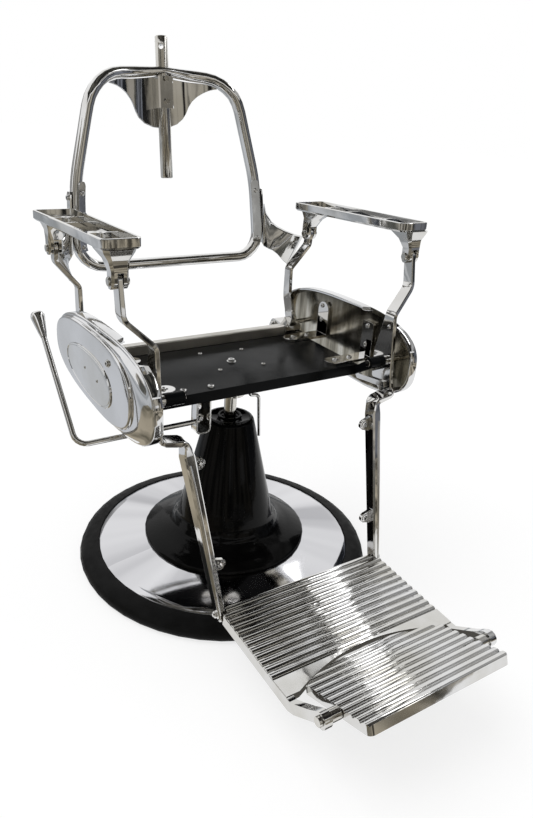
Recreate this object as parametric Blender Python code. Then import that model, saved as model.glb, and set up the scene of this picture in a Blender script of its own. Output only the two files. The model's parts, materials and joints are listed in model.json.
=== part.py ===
"""Bare metal frame of a hydraulic barber chair.

Metres, +Z up.  The origin is on the floor under the column and the chair faces -Y.
Left is -X and right is +X, as seen from in front of the chair.
"""
import math

import bmesh
import bpy
from mathutils import Matrix, Vector

# Fits
TOUCH = 0.0004                  # gap kept between two pieces that touch
PLAY = 0.0003                   # radial play of a pin in its hole

# Base and column
BASE_RADIUS = 0.329
CASTING_RADIUS = 0.270
PLATE_RADIUS = 0.2858
FLANGE_RADIUS = 0.183
SKIRT_TOP_RADIUS = 0.0534
SKIRT_TOP = 0.3385
CYLINDER_RADIUS = 0.036
CYLINDER_BORE = 0.0285
ROD_RADIUS = 0.0135
ROD_TOP = 0.437

# Seat
SEAT_TOP = 0.465
SEAT_SKIRT = 0.022
SEAT_SHEET = 0.004
SEAT_HALF_WIDTH = 0.242
SEAT_FRONT = -0.120
SEAT_REAR = 0.125

# Recline linkage: each side is a parallelogram seen along X
REAR_PIVOT = (0.151, 0.477)
REAR_PIN = (0.183, 0.682)
FRONT_PIN = (-0.157, 0.702)
FRONT_PIVOT = (FRONT_PIN[0] - REAR_PIN[0] + REAR_PIVOT[0], FRONT_PIN[1] - REAR_PIN[1] + REAR_PIVOT[1])
BAR_HALF = 0.0045               # half the thickness of the flat bars
FRONT_BAR_X = 0.260             # bars beside the seat
REAR_BAR_X = 0.260
REAR_FOOT_X = 0.249
FRONT_PIN_X = 0.311             # bars under the armrests
REAR_PIN_X = 0.306
CLEVIS_PIN_RADIUS = 0.0055
PIVOT_RADIUS = 0.007

# Side covers: an oval that tapers towards the rear
COVER_CENTRE = (-0.0166, 0.4989)
COVER_HALF = (0.2291, 0.0835)
COVER_TAPER = -0.11
COVER_POWER = 2.685
COVER_SLOPE = 0.0197            # how the covers drop towards the front, from their rear end
COVER_REAR = 0.2125
COVER_INNER_X = 0.272
COVER_FLOOR_X = 0.2896
COVER_FACE_X = 0.306
NOTCH_Y = (-0.183, -0.086)      # where the rim makes room for the reclining front lever
NOTCH_X = 0.288
BRACKET_SHEET = 0.006
BRACKET_TOP = 0.547
BRACKET_END_X = 0.177
BRACKET_FRONT_Y = (-0.109, -0.0735)
BRACKET_REAR_Y = (0.051, 0.089)

# Back hoop, drawn upright and then leaned back about its bottom rail
HOOP_FOOT = Vector((0.0, 0.2835, 0.613))
BACK_LEAN = math.radians(6.84)
HOOP_HALF_WIDE = 0.0115
HOOP_HALF_DEEP = 0.0145
HOOP_BOW = 0.028                # how far the top rail bows to the rear
CLAMP_TURN = math.radians(25)   # how far the clamp strips on the hoop face inwards
HOOP_LOW_CORNER = (0.228, 0.0)
HOOP_MIDDLE = (0.2185, 0.174)
HOOP_HIGH_CORNER = (0.164, 0.388)
HOOP_TOP = 0.4025
LOW_CORNER_RADIUS = 0.055
HIGH_CORNER_RADIUS = 0.092
MIDDLE_RADIUS = 0.40
RAIL_STRAIGHT = 0.096           # where the top rail starts to turn into its corner
SIDE_STRAIGHT = 0.135           # height where the sides start to turn inwards
BOSS_REACH = 0.070              # half the length of the flat boss in the top rail
BOSS_HALF_WIDE = 0.0085
BOSS_HALF_DEEP = 0.0235
HEAD_POST_RADIUS = 0.0135
HEAD_POST_OFFSET = 0.021        # behind the plane of the hoop's sides
HEAD_POST_SPAN = (0.182, 0.470)
HEAD_POST_TURN = math.radians(-30)  # where the post's cross hole faces

# Armrest tray
ARM_FRONT = -0.168
ARM_REAR = 0.192
ARM_TOP_REAR = 0.7545
ARM_RISE = 0.043                # rise per metre towards the front
ARM_HEIGHT = 0.018
ARM_FLOOR = 0.005
ARM_SIDES_FRONT = (0.271, 0.341)    # inner and outer X of the tray
ARM_SIDES_REAR = (0.260, 0.344)
TRAY_RIB_DROP = 0.005           # the cross ribs stay this far below the rim
TRAY_BOSSES = (0.115, -0.070)   # cross ribs with a screw boss
TRAY_PLAIN_RIB = 0.045

# Footrest and flip tread
TREAD_REAR = -0.3045
TREAD_RIBS_END = -0.495
TREAD_FRONT = -0.533
TREAD_TOP_REAR = 0.114
TREAD_TOP_FRONT = 0.1045
TREAD_HALF_WIDTH = 0.188
TREAD_THICK = 0.014
WALL_INNER = 0.174
LEG_BAY_X = 0.1766              # bay in each rear corner that the foot of a leg stands in
LEG_BAY_FRONT = -0.3240
RIB_COUNT = 12
RIB_HEIGHT = 0.004
# A rib and its groove, as shares of the pitch and of the height
RIB_SHAPE = ((0.0, 0.0), (0.04, 0.55), (0.14, 0.88), (0.30, 1.0),
             (0.48, 1.0), (0.64, 0.88), (0.74, 0.55), (0.78, 0.0))
FLIP_AXIS = (-0.620, 0.135)
FLIP_TILT = math.radians(19.5)
FLIP_HALF_WIDTH = 0.152
FLIP_REAR = -0.122
FLIP_FRONT = 0.072
FLIP_HALF_THICK = 0.009
FLIP_RIB_COUNT = 11
HINGE_RADIUS = 0.006

# Pump lever
LEVER_AXIS = (-0.108, 0.400)
LEVER_INNER_X = -0.1335
LEVER_ELBOW_X = -0.375
LEVER_RISE = math.radians(43.5)
LEVER_LENGTH = 0.217
LEVER_RADIUS = 0.0052

SIDES = (("left", -1.0), ("right", 1.0))


def clear_scene():
    for old in list(bpy.data.objects):
        bpy.data.objects.remove(old, do_unlink=True)


def material(name, colour, roughness, metallic):
    made = bpy.data.materials.new(name)
    made.use_nodes = True
    shader = made.node_tree.nodes["Principled BSDF"]
    shader.inputs["Base Color"].default_value = (*colour, 1.0)
    shader.inputs["Roughness"].default_value = roughness
    shader.inputs["Metallic"].default_value = metallic
    return made


def pivot(name, place, parent=None):
    """An empty on a joint's axis; its place is given in world coordinates."""
    empty = bpy.data.objects.new(name, None)
    empty["world"] = place
    empty.empty_display_size = 0.05
    carried_from = Vector(parent["world"]) if parent else Vector()
    empty.location = Vector(place) - carried_from
    empty.parent = parent
    bpy.context.scene.collection.objects.link(empty)
    return empty


def face_out(bm):
    """Make every face of a closed mesh point outwards."""
    bm.normal_update()
    bmesh.ops.recalc_face_normals(bm, faces=bm.faces)
    if bm.calc_volume(signed=True) < 0:
        bmesh.ops.reverse_faces(bm, faces=bm.faces)


def add(name, bm, finish, carrier):
    """Turn a mesh drawn in world coordinates into an object carried by a pivot."""
    face_out(bm)
    bmesh.ops.translate(bm, verts=bm.verts, vec=-Vector(carrier["world"]))
    mesh = bpy.data.meshes.new(name)
    bm.to_mesh(mesh)
    bm.free()
    mesh.shade_smooth()
    mesh.set_sharp_from_angle(angle=math.radians(35))
    mesh.materials.append(finish)
    obj = bpy.data.objects.new(name, mesh)
    obj.parent = carrier
    bpy.context.scene.collection.objects.link(obj)
    return obj


# Mesh tools

def loft(rings, closed=False):
    """Skin a row of rings; an open row is capped at both ends."""
    bm = bmesh.new()
    rows = [[bm.verts.new(point) for point in ring] for ring in rings]
    pairs = list(zip(rows, rows[1:]))
    if closed:
        pairs.append((rows[-1], rows[0]))
    for low, high in pairs:
        for i in range(len(low)):
            j = (i + 1) % len(low)
            bm.faces.new((low[i], low[j], high[j], high[i]))
    if not closed:
        bm.faces.new(rows[0])
        bm.faces.new(rows[-1])
    return bm


def lathe(profile, segments, closed=False):
    """Turn a profile of (radius, height) about Z."""
    turns = [2 * math.pi * i / segments for i in range(segments)]
    rings = [[Vector((r * math.cos(a), r * math.sin(a), z)) for a in turns] for r, z in profile]
    return loft(rings, closed)


def spindle(profile, place, segments=12):
    """Turn a profile of (x, radius) about an axis along X through place, a (y, z) pair."""
    bm = lathe([(r, x) for x, r in profile], segments)
    bm.transform(Matrix.Translation((0, *place)) @ Matrix.Rotation(math.radians(90), 4, "Y"))
    return bm


def prism(outline, axis, low, high):
    """Extrude a flat outline along X, Y or Z."""
    def lift(u, v, height):
        return {"X": (height, u, v), "Y": (u, height, v), "Z": (u, v, height)}[axis]
    return loft([[Vector(lift(u, v, height)) for u, v in outline] for height in (low, high)])


def arc(centre, radius, start, end, steps):
    """Points on a circle from one angle to another, in degrees."""
    turns = [math.radians(start + (end - start) * i / steps) for i in range(steps + 1)]
    return [(centre[0] + radius * math.cos(a), centre[1] + radius * math.sin(a)) for a in turns]


def drum(axis, centre, radius, low, high, sides=16):
    return prism(arc(centre, radius, 0, 360, sides)[:-1], axis, low, high)


def boolean(bm, tool, operation):
    """Join or cut one mesh with another, using up both."""
    pair = []
    for shape in (bm, tool):
        face_out(shape)
        mesh = bpy.data.meshes.new("shape")
        shape.to_mesh(mesh)
        shape.free()
        holder = bpy.data.objects.new("shape", mesh)
        bpy.context.scene.collection.objects.link(holder)
        pair.append(holder)
    change = pair[0].modifiers.new("change", "BOOLEAN")
    change.operation = operation
    change.object = pair[1]
    bpy.context.view_layer.update()
    result = bmesh.new()
    result.from_object(pair[0], bpy.context.evaluated_depsgraph_get())
    for holder in pair:
        spent = holder.data
        bpy.data.objects.remove(holder, do_unlink=True)
        bpy.data.meshes.remove(spent)
    return result


def cut(bm, *tools):
    for tool in tools:
        bm = boolean(bm, tool, "DIFFERENCE")
    return bm


def join(bm, *tools):
    for tool in tools:
        bm = boolean(bm, tool, "UNION")
    return bm


def mirrored(bm, side):
    """A mesh drawn on the right, kept there or mirrored to the left."""
    if side < 0:
        bm.transform(Matrix.Scale(-1, 4, (1, 0, 0)))
    return bm


def bend(controls, steps=3):
    """Round the corners of a row of (point, half width, half thickness, bend radius)."""
    row = []
    for i, (point, wide, thick, radius) in enumerate(controls):
        corner = Vector(point)
        if radius == 0 or i in (0, len(controls) - 1):
            row.append((corner, wide, thick))
            continue
        back = (Vector(controls[i - 1][0]) - corner).normalized()
        ahead = (Vector(controls[i + 1][0]) - corner).normalized()
        half_angle = back.angle(ahead) / 2
        inset = radius / math.tan(half_angle)
        centre = corner + (back + ahead).normalized() * radius / math.sin(half_angle)
        first = corner + back * inset - centre
        last = corner + ahead * inset - centre
        for k in range(steps + 1):
            spoke = first.slerp(last, k / steps)
            row.append((centre + radius * spoke, wide, thick))
    return row


def sweep(row, across, section):
    """Carry a cross-section along a row of (point, half width, half thickness)."""
    points = [entry[0] for entry in row]
    rings = []
    for i, (point, wide, thick) in enumerate(row):
        ahead = points[min(i + 1, len(points) - 1)]
        behind = points[max(i - 1, 0)]
        along = (ahead - behind).normalized()
        aside = (across - across.dot(along) * along).normalized()
        normal = along.cross(aside)
        rings.append([point + aside * u + normal * v for u, v in section(wide, thick)])
    return loft(rings)


def bar_section(wide, thick):
    """A flat bar's section, with its corners taken off."""
    edge = 0.3 * min(wide, thick)
    return [(wide, -thick + edge), (wide, thick - edge), (wide - edge, thick), (-wide + edge, thick),
            (-wide, thick - edge), (-wide, -thick + edge), (-wide + edge, -thick), (wide - edge, -thick)]


def round_section(sides):
    turns = [2 * math.pi * (i + 0.5) / sides for i in range(sides)]
    return lambda wide, thick: [(wide * math.cos(a), thick * math.sin(a)) for a in turns]


def soft_section(wide, thick):
    """An oval with squared shoulders, as a drawn tube has."""
    turns = [2 * math.pi * i / 16 for i in range(16)]
    return [(wide * math.copysign(abs(math.cos(a)) ** 0.7, math.cos(a)),
             thick * math.copysign(abs(math.sin(a)) ** 0.7, math.sin(a))) for a in turns]


def eye(pin, towards, radius, thick):
    """The round end of a bar beyond its pin, from the tip back to the pin."""
    heading = (Vector(towards) - Vector(pin)).normalized()
    tips = [(Vector(pin) - heading * radius * math.cos(a), radius * math.sin(a), thick, 0)
            for a in map(math.radians, (20, 45, 70))]
    return tips + [(pin, radius, thick, 0)]


def rectangle(half_x, front, rear, height, inset=0.0):
    left, right = -half_x + inset, half_x - inset
    low, high = front + inset, rear - inset
    return [Vector((x, y, height)) for x, y in ((left, low), (right, low), (right, high), (left, high))]


# Base and column

def build_base(finish, body):
    ring = [(CASTING_RADIUS + TOUCH, 0), (BASE_RADIUS - 0.012, 0), (BASE_RADIUS - 0.003, 0.004),
            (BASE_RADIUS, 0.012), (BASE_RADIUS - 0.004, 0.022), (BASE_RADIUS - 0.016, 0.0295),
            (BASE_RADIUS - 0.032, 0.0335), (BASE_RADIUS - 0.0415, 0.0345), (BASE_RADIUS - 0.0435, 0.0305),
            (CASTING_RADIUS + TOUCH, 0.0285)]
    add("base_ring", lathe(ring, 48, closed=True), finish["rubber"], body)

    hub_top = 0.0495
    rim = CASTING_RADIUS - 0.0012
    casting = [(rim, 0), (rim, 0.014), (0.110, 0.018), (0.095, hub_top)]
    add("base_casting", lathe(casting, 45), finish["iron"], body)

    plate = [(0.100, 0.0528), (0.175, 0.0530), (0.268, 0.0390), (PLATE_RADIUS - 0.0023, 0.0350),
             (PLATE_RADIUS, 0.0330), (PLATE_RADIUS - 0.0023, 0.0312), (0.266, 0.0360), (0.175, 0.0500),
             (0.100, 0.0498)]
    add("base_plate", lathe(plate, 48, closed=True), finish["chrome"], body)

    flange_low = 0.0530
    skirt = [(FLANGE_RADIUS, flange_low), (FLANGE_RADIUS, 0.0585), (FLANGE_RADIUS - 0.0035, 0.0615),
             (0.150, 0.0685), (0.128, 0.0785), (0.1165, 0.0855), (0.1160, 0.0885), (0.1120, 0.0905),
             (0.1065, 0.110),
             (SKIRT_TOP_RADIUS, SKIRT_TOP - 0.0055), (SKIRT_TOP_RADIUS - 0.003, SKIRT_TOP - 0.001),
             (SKIRT_TOP_RADIUS - 0.008, SKIRT_TOP), (SKIRT_TOP_RADIUS - 0.010, SKIRT_TOP - 0.004),
             (0.020, SKIRT_TOP - 0.005), (0.020, SKIRT_TOP - 0.009),
             (SKIRT_TOP_RADIUS - 0.006, SKIRT_TOP - 0.009),
             (0.1025, 0.108), (0.110, 0.091), (0.125, 0.0755), (0.148, 0.0645),
             (FLANGE_RADIUS - 0.005, 0.0575), (FLANGE_RADIUS - 0.004, flange_low)]
    add("column_skirt", lathe(skirt, 40, closed=True), finish["black"], body)

    cylinder = [(CYLINDER_RADIUS, hub_top + TOUCH), (CYLINDER_RADIUS, 0.320), (CYLINDER_BORE, 0.320),
                (CYLINDER_BORE, 0.060)]
    add("pump_cylinder", lathe(cylinder, 24), finish["steel"], body)
    gland = [(ROD_RADIUS + PLAY, 0.302), (CYLINDER_BORE - TOUCH, 0.302), (CYLINDER_BORE - TOUCH, 0.3195),
             (ROD_RADIUS + PLAY, 0.3195)]
    add("cylinder_gland", lathe(gland, 20, closed=True), finish["steel"], body)


def build_piston(finish, body):
    head_top = 0.085
    head = [(CYLINDER_BORE - TOUCH, 0.0605), (CYLINDER_BORE - TOUCH, head_top)]
    add("piston_head", lathe(head, 20), finish["steel"], body)
    rod = [(ROD_RADIUS, head_top + TOUCH), (ROD_RADIUS, ROD_TOP)]
    add("piston_rod", lathe(rod, 20), finish["steel"], body)


# Seat frame

def build_seat(finish, body):
    underside = SEAT_TOP - SEAT_SHEET
    foot = SEAT_TOP - SEAT_SKIRT
    sides = (SEAT_HALF_WIDTH, SEAT_FRONT, SEAT_REAR)
    plate = loft([rectangle(*sides, SEAT_TOP), rectangle(*sides, foot),
                  rectangle(*sides, foot, SEAT_SHEET), rectangle(*sides, underside, SEAT_SHEET)])
    add("seat_plate", plate, finish["satin"], body)

    hub = [(ROD_RADIUS + PLAY, ROD_TOP + TOUCH), (ROD_RADIUS + PLAY, 0.392), (0.030, 0.392), (0.030, 0.449),
           (0.070, 0.452), (0.070, underside - TOUCH)]
    add("swivel_hub", lathe(hub, 24), finish["steel"], body)

    rail_end = 0.200
    rail = prism([(0.1035, SEAT_TOP + TOUCH), (0.1245, SEAT_TOP + TOUCH), (0.1245, SEAT_TOP + 0.0205),
                  (0.1225, SEAT_TOP + 0.0225), (0.1055, SEAT_TOP + 0.0225), (0.1035, SEAT_TOP + 0.0205)],
                 "X", -rail_end, rail_end)
    add("rear_rail", rail, finish["chrome"], body)

    add("pump_bracket", pump_bracket(underside - TOUCH), finish["chrome"], body)

    guard = bend([((0.0304, 0, 0.402), 0.004, 0.004, 0), ((0.0420, 0, 0.402), 0.004, 0.004, 0.006),
                  ((0.0500, 0, 0.379), 0.004, 0.004, 0.006), ((0.0720, 0, 0.376), 0.004, 0.004, 0.012),
                  ((0.0795, 0, 0.274), 0.004, 0.004, 0)])
    add("column_guard_rod", sweep(guard, Vector((0, 1, 0)), round_section(8)), finish["chrome"], body)

    for name, side in SIDES:
        build_seat_side(finish, body, name, side)


def pump_bracket(top):
    """A channel under the seat plate, open towards the front, with a hole for the lever in one flange."""
    left, right, low = -0.143, -0.111, LEVER_AXIS[1] - 0.026
    front, rear = LEVER_AXIS[0] - 0.008, LEVER_AXIS[0] + 0.014
    sheet = 0.0035

    def outline(inset):
        corner = 0.010 - inset
        foot = low + inset + corner
        near, far = left + inset, right - inset
        near_turn = arc((near + corner, foot), corner, 180, 270, 3)
        far_turn = arc((far - corner, foot), corner, 270, 360, 3)
        return [(near, top + inset)] + near_turn + far_turn + [(far, top + inset)]

    hollow = prism(outline(sheet), "Y", front - 0.01, rear - sheet)
    channel = cut(prism(outline(0.0), "Y", front, rear), hollow)
    return cut(channel, drum("X", LEVER_AXIS, LEVER_RADIUS + PLAY, left - 0.01, left + 0.01))


def cover_bracket(front, rear, rounded):
    """An angle bracket: a tab on the seat plate with a slot in its round end, and a leg up to the cover."""
    low = SEAT_TOP + TOUCH
    leg_x = COVER_FLOOR_X - TOUCH
    middle, half = (front + rear) / 2, (rear - front) / 2
    inset = 0.0006
    round_end = arc((BRACKET_END_X + half, middle), half - inset, 90, 270, 8)
    overlap = leg_x - BRACKET_SHEET / 2
    round_end += [(overlap, front + inset), (overlap, rear - inset)]
    tab = prism(round_end, "Z", low, low + BRACKET_SHEET)
    if rounded:
        head = arc((middle, BRACKET_TOP - half), half, 0, 180, 8)
    else:
        head = [(rear, BRACKET_TOP - 0.003), (rear - 0.003, BRACKET_TOP), (front + 0.003, BRACKET_TOP),
                (front, BRACKET_TOP - 0.003)]
    root = low + BRACKET_SHEET / 2
    leg = prism(head + [(front, root), (rear, root)], "X", leg_x - BRACKET_SHEET, leg_x)
    slot_radius, slot_start = 0.0035, BRACKET_END_X + half
    slot = arc((slot_start, middle), slot_radius, 90, 270, 6)
    slot += arc((slot_start + 0.012, middle), slot_radius, 270, 450, 6)
    return cut(join(tab, leg), prism(slot, "Z", low - 0.01, low + 0.02))


def build_seat_side(finish, body, name, side):
    tab_low = SEAT_TOP + TOUCH
    for place, ends, rounded in (("front", BRACKET_FRONT_Y, False), ("rear", BRACKET_REAR_Y, True)):
        bracket = cover_bracket(*ends, rounded)
        add(f"cover_bracket_{place}_{name}", mirrored(bracket, side), finish["chrome"], body)

    flange = SEAT_FRONT - TOUCH
    lug = [(flange, 0.444), (flange, 0.463)] + arc(FRONT_PIVOT, 0.0125, 70, 280, 8)
    bush = drum("X", FRONT_PIVOT, 0.0118, 0.2090, 0.2440)
    front = cut(join(prism(lug, "X", 0.2340, 0.2448), bush),
                drum("X", FRONT_PIVOT, PIVOT_RADIUS + PLAY, 0.20, 0.26))
    add(f"front_pivot_bracket_{name}", mirrored(front, side), finish["satin"], body)
    outer = FRONT_BAR_X + BAR_HALF + TOUCH
    cover = COVER_FLOOR_X - TOUCH
    pin = spindle([(0.206, PIVOT_RADIUS), (outer, PIVOT_RADIUS), (outer, 0.011), (outer + 0.0035, 0.011),
                   (outer + 0.0035, 0.006), (cover, 0.006)], FRONT_PIVOT)
    add(f"front_pivot_pin_{name}", mirrored(pin, side), finish["steel"], body)

    lug = [(0.100, tab_low), (SEAT_REAR + 0.001, tab_low)] + arc(REAR_PIVOT, 0.0145, -110, 100, 8)
    lug.append((0.100, SEAT_TOP + 0.0215))
    rear = cut(prism(lug, "X", 0.2004, 0.2435), drum("X", REAR_PIVOT, PIVOT_RADIUS + PLAY, 0.19, 0.25))
    add(f"rear_pivot_lug_{name}", mirrored(rear, side), finish["chrome"], body)
    outer = REAR_FOOT_X + BAR_HALF + TOUCH
    pin = spindle([(0.2035, PIVOT_RADIUS), (outer, PIVOT_RADIUS), (outer, 0.011), (outer + 0.003, 0.011),
                   (outer + 0.003, 0.006), (cover, 0.006)], REAR_PIVOT)
    add(f"rear_pivot_pin_{name}", mirrored(pin, side), finish["steel"], body)

    add(f"side_cover_{name}", mirrored(cover_dish(), side), finish["cast"], body)
    inlay = loft([oval(x, (0.015, 0.486), (0.117 - inset, 0.0455 - inset), 2.3, 32)
                  for x, inset in ((COVER_FACE_X + TOUCH, 0), (COVER_FACE_X + 0.0018, 0),
                                   (COVER_FACE_X + 0.0025, 0.001))])
    add(f"cover_inlay_{name}", mirrored(inlay, side), finish["cast"], body)


def oval(x, centre, half, power, count):
    """An oval ring in a plane across X, tapering towards the rear and dropping towards the front."""
    ring = []
    for i in range(count):
        turn = 2 * math.pi * i / count
        u = math.copysign(abs(math.cos(turn)) ** (2 / power), math.cos(turn))
        v = math.copysign(abs(math.sin(turn)) ** (2 / power), math.sin(turn))
        y = centre[0] + half[0] * u
        drop = COVER_SLOPE * (COVER_REAR - y)
        ring.append(Vector((x, y, centre[1] + half[1] * (1 + COVER_TAPER * u) * v - drop)))
    return ring


def cover_dish():
    """A dished cover, open towards the seat, with a raised oval outside and a notch in its rim."""
    def rim(x, inset):
        return oval(x, COVER_CENTRE, (COVER_HALF[0] - inset, COVER_HALF[1] - inset), COVER_POWER, 40)

    def raised(x, inset):
        return oval(x, (0.011, COVER_CENTRE[1]), (0.194 - inset, 0.074 - inset), COVER_POWER, 40)

    dish = loft([rim(COVER_FLOOR_X, 0.010), rim(COVER_INNER_X + 0.002, 0.007), rim(COVER_INNER_X, 0.006),
                 rim(COVER_INNER_X, 0.001), rim(COVER_INNER_X + 0.0015, 0.0), rim(0.2945, 0.0),
                 rim(0.2985, 0.0035), raised(0.3005, 0.0), raised(COVER_FACE_X, 0.003)])
    front, rear = NOTCH_Y
    low, high = COVER_CENTRE[1] + 0.03, COVER_CENTRE[1] + 0.12
    notch = [(front, low), (rear, low), (rear, high), (front, high)]
    return cut(dish, prism(notch, "X", COVER_INNER_X - 0.01, NOTCH_X))


# Reclining back

def lean(bm):
    """Lean a mesh drawn upright back about the bottom rail of the hoop."""
    turn = Matrix.Rotation(-BACK_LEAN, 4, "X")
    bm.transform(Matrix.Translation(HOOP_FOOT) @ turn @ Matrix.Translation(-HOOP_FOOT))
    return bm


def boss_share(x):
    """How much of the top rail's section is boss: 1 over the headrest post, 0 at the boss's ends."""
    return max(0.0, 1 - abs(x) / BOSS_REACH)


def rail_bow(x):
    return HOOP_BOW * max(0.0, 1 - (x / HOOP_HIGH_CORNER[0]) ** 2)


def rail_half_wide(x):
    return HOOP_HALF_WIDE + (BOSS_HALF_WIDE - HOOP_HALF_WIDE) * boss_share(x)


def hoop_ring_place(point):
    """Centre, half width and half depth of the hoop at a point of its flat centre line."""
    if point.z - HOOP_FOOT.z < HOOP_HIGH_CORNER[1] - 0.08:
        return point, HOOP_HALF_WIDE, HOOP_HALF_DEEP
    deep = HOOP_HALF_DEEP + (BOSS_HALF_DEEP - HOOP_HALF_DEEP) * boss_share(point.x)
    return point + Vector((0, rail_bow(point.x), 0)), rail_half_wide(point.x), deep


def hoop_side_x(height):
    """Half the hoop's width between its lower corner and a little above its middle."""
    share = height / HOOP_MIDDLE[1]
    turned = max(0.0, height - SIDE_STRAIGHT)
    straight = HOOP_LOW_CORNER[0] + (HOOP_MIDDLE[0] - HOOP_LOW_CORNER[0]) * share
    return straight - turned ** 2 / (2 * MIDDLE_RADIUS)


def build_back(finish, body):
    corners = [((0.0, HOOP_FOOT.y, HOOP_FOOT.z), 0.0)]
    for (x, height), radius in ((HOOP_LOW_CORNER, LOW_CORNER_RADIUS), (HOOP_MIDDLE, MIDDLE_RADIUS),
                                (HOOP_HIGH_CORNER, HIGH_CORNER_RADIUS)):
        corners.append((HOOP_FOOT + Vector((x, 0, height)), radius))
    corners.append((HOOP_FOOT + Vector((0, 0, HOOP_TOP)), 0.0))
    half = [entry[0] for entry in bend([(point, 1, 1, radius) for point, radius in corners], steps=6)]
    shoulder, crown = half[-2:]
    half[-1:] = [shoulder.lerp(crown, i / 6) for i in range(1, 7)]
    right = [hoop_ring_place(point) for point in half]
    left = [(Vector((-p.x, p.y, p.z)), wide, thick) for p, wide, thick in reversed(right[1:-1])]
    hoop = sweep_hoop(right + left)
    low, high = HOOP_FOOT.z + HOOP_TOP - 0.03, HOOP_FOOT.z + HOOP_TOP + 0.03
    bore = drum("Z", (0, HOOP_FOOT.y + HEAD_POST_OFFSET), HEAD_POST_RADIUS + PLAY, low, high, 20)
    add("back_hoop", lean(cut(hoop, bore)), finish["chrome"], body)

    for name, side in SIDES:
        build_back_side(finish, body, name, side)
    build_headrest_bracket(finish, body)


def sweep_hoop(row):
    """The hoop's tube: its width lies in the hoop's plane and its depth along Y."""
    points = [entry[0] for entry in row]
    rings = []
    for i, (point, wide, thick) in enumerate(row):
        along = (points[(i + 1) % len(points)] - points[i - 1]).normalized()
        depth = Vector((0, 1, 0))
        aside = along.cross(depth).normalized()
        rings.append([point + aside * u + depth * v for u, v in soft_section(wide, thick)])
    return loft(rings, closed=True)


def back_horn():
    """A web that flares from the hoop's side and runs forward to the rear post, as rings across it.

    The rings lean outwards towards the front, where the web ends along the slanting part of the post.
    """
    stations = ((0.2412, 0.2890, 0.642, 0.735, 0.0085, 0.0), (0.2470, 0.2865, 0.634, 0.714, 0.0080, 0.0),
                (0.2560, 0.2760, 0.629, 0.694, 0.0075, 0.0), (0.2640, 0.2640, 0.627, 0.684, 0.0070, 0.003),
                (0.2720, 0.2470, 0.621, 0.677, 0.0065, 0.007), (0.2790, 0.2240, 0.611, 0.672, 0.0060, 0.013),
                (0.2835, 0.2050, 0.606, 0.671, 0.0055, 0.017))
    places = [Vector((x, y, 0)) for x, y, low, high, thick, slant in stations]
    rings = []
    for i, (x, y, low, high, thick, slant) in enumerate(stations):
        heading = (places[min(i + 1, len(places) - 1)] - places[max(i - 1, 0)]).normalized()
        normal = Vector((-heading.y, heading.x, 0))
        centre = Vector((x, y, (low + high) / 2))
        half = (high - low) / 2
        section = bar_section(half, thick)
        rings.append([centre + Vector((slant * u / half, 0, u)) + normal * v for u, v in section])
    return loft(rings)


def build_back_side(finish, body, name, side):
    inwards, forwards = math.sin(CLAMP_TURN), math.cos(CLAMP_TURN)
    tube = max(u * inwards + v * forwards for u, v in soft_section(HOOP_HALF_WIDE, HOOP_HALF_DEEP))
    lift = Vector((-inwards, -forwards, 0)) * (tube + 0.0024)
    row = []
    for h, wide in ((0.034, 0.0094), (0.042, 0.0094), (0.056, 0.0094), (0.140, 0.0094), (0.157, 0.0094),
                    (0.169, 0.0094), (0.174, 0.0075), (0.177, 0.0045)):
        turned = max(0.0, LOW_CORNER_RADIUS - h)
        curve = LOW_CORNER_RADIUS - math.sqrt(LOW_CORNER_RADIUS ** 2 - turned ** 2)
        row.append((HOOP_FOOT + Vector((hoop_side_x(h) - curve, 0, h)) + lift, wide, 0.0015))
    clamp = lean(sweep(row, Vector((forwards, -inwards, 0)), bar_section))
    add(f"hoop_clamp_strip_{name}", mirrored(clamp, side), finish["chrome"], body)

    row = [(HOOP_FOOT + Vector((hoop_side_x(h) + HOOP_HALF_WIDE + 0.0028, 0, h)), wide, 0.0020)
           for h, wide in ((0.030, 0.011), (0.150, 0.011), (0.157, 0.008))]
    plate = lean(sweep(row, Vector((0, 1, 0)), bar_section))
    arm = join(plate, back_horn())
    add(f"back_arm_{name}", mirrored(arm, side), finish["cast"], body)

    pin = (REAR_PIN_X, *REAR_PIN)
    foot = (REAR_FOOT_X, *REAR_PIVOT)
    knee = (REAR_PIN_X, 0.186, 0.655)
    ankle = (REAR_FOOT_X, 0.1560, 0.503)
    row = eye(pin, knee, 0.012, BAR_HALF)
    row += [(knee, 0.012, BAR_HALF, 0.014), ((REAR_BAR_X, 0.190, 0.600), 0.012, BAR_HALF, 0.016),
            ((REAR_BAR_X, 0.188, 0.538), 0.013, BAR_HALF, 0.016), (ankle, 0.014, BAR_HALF, 0.012)]
    row += list(reversed(eye(foot, ankle, 0.014, BAR_HALF)))
    post = sweep(bend(row), Vector((0, 1, 0)), bar_section)
    post = cut(post, drum("X", REAR_PIN, CLEVIS_PIN_RADIUS + PLAY, 0.29, 0.32),
               drum("X", REAR_PIVOT, PIVOT_RADIUS + PLAY, 0.235, 0.265))
    add(f"rear_post_{name}", mirrored(post, side), finish["chrome"], body)


def under_rail(x):
    """Height just below the hoop's top rail, which turns down towards its corners."""
    fall = (HOOP_TOP - HOOP_HIGH_CORNER[1]) / HOOP_HIGH_CORNER[0]
    turned = max(0.0, abs(x) - RAIL_STRAIGHT)
    drop = fall * abs(x) + turned ** 2 / (2 * (HIGH_CORNER_RADIUS - HOOP_HALF_WIDE))
    return HOOP_FOOT.z + HOOP_TOP - drop - rail_half_wide(x) - 0.0010


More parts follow.
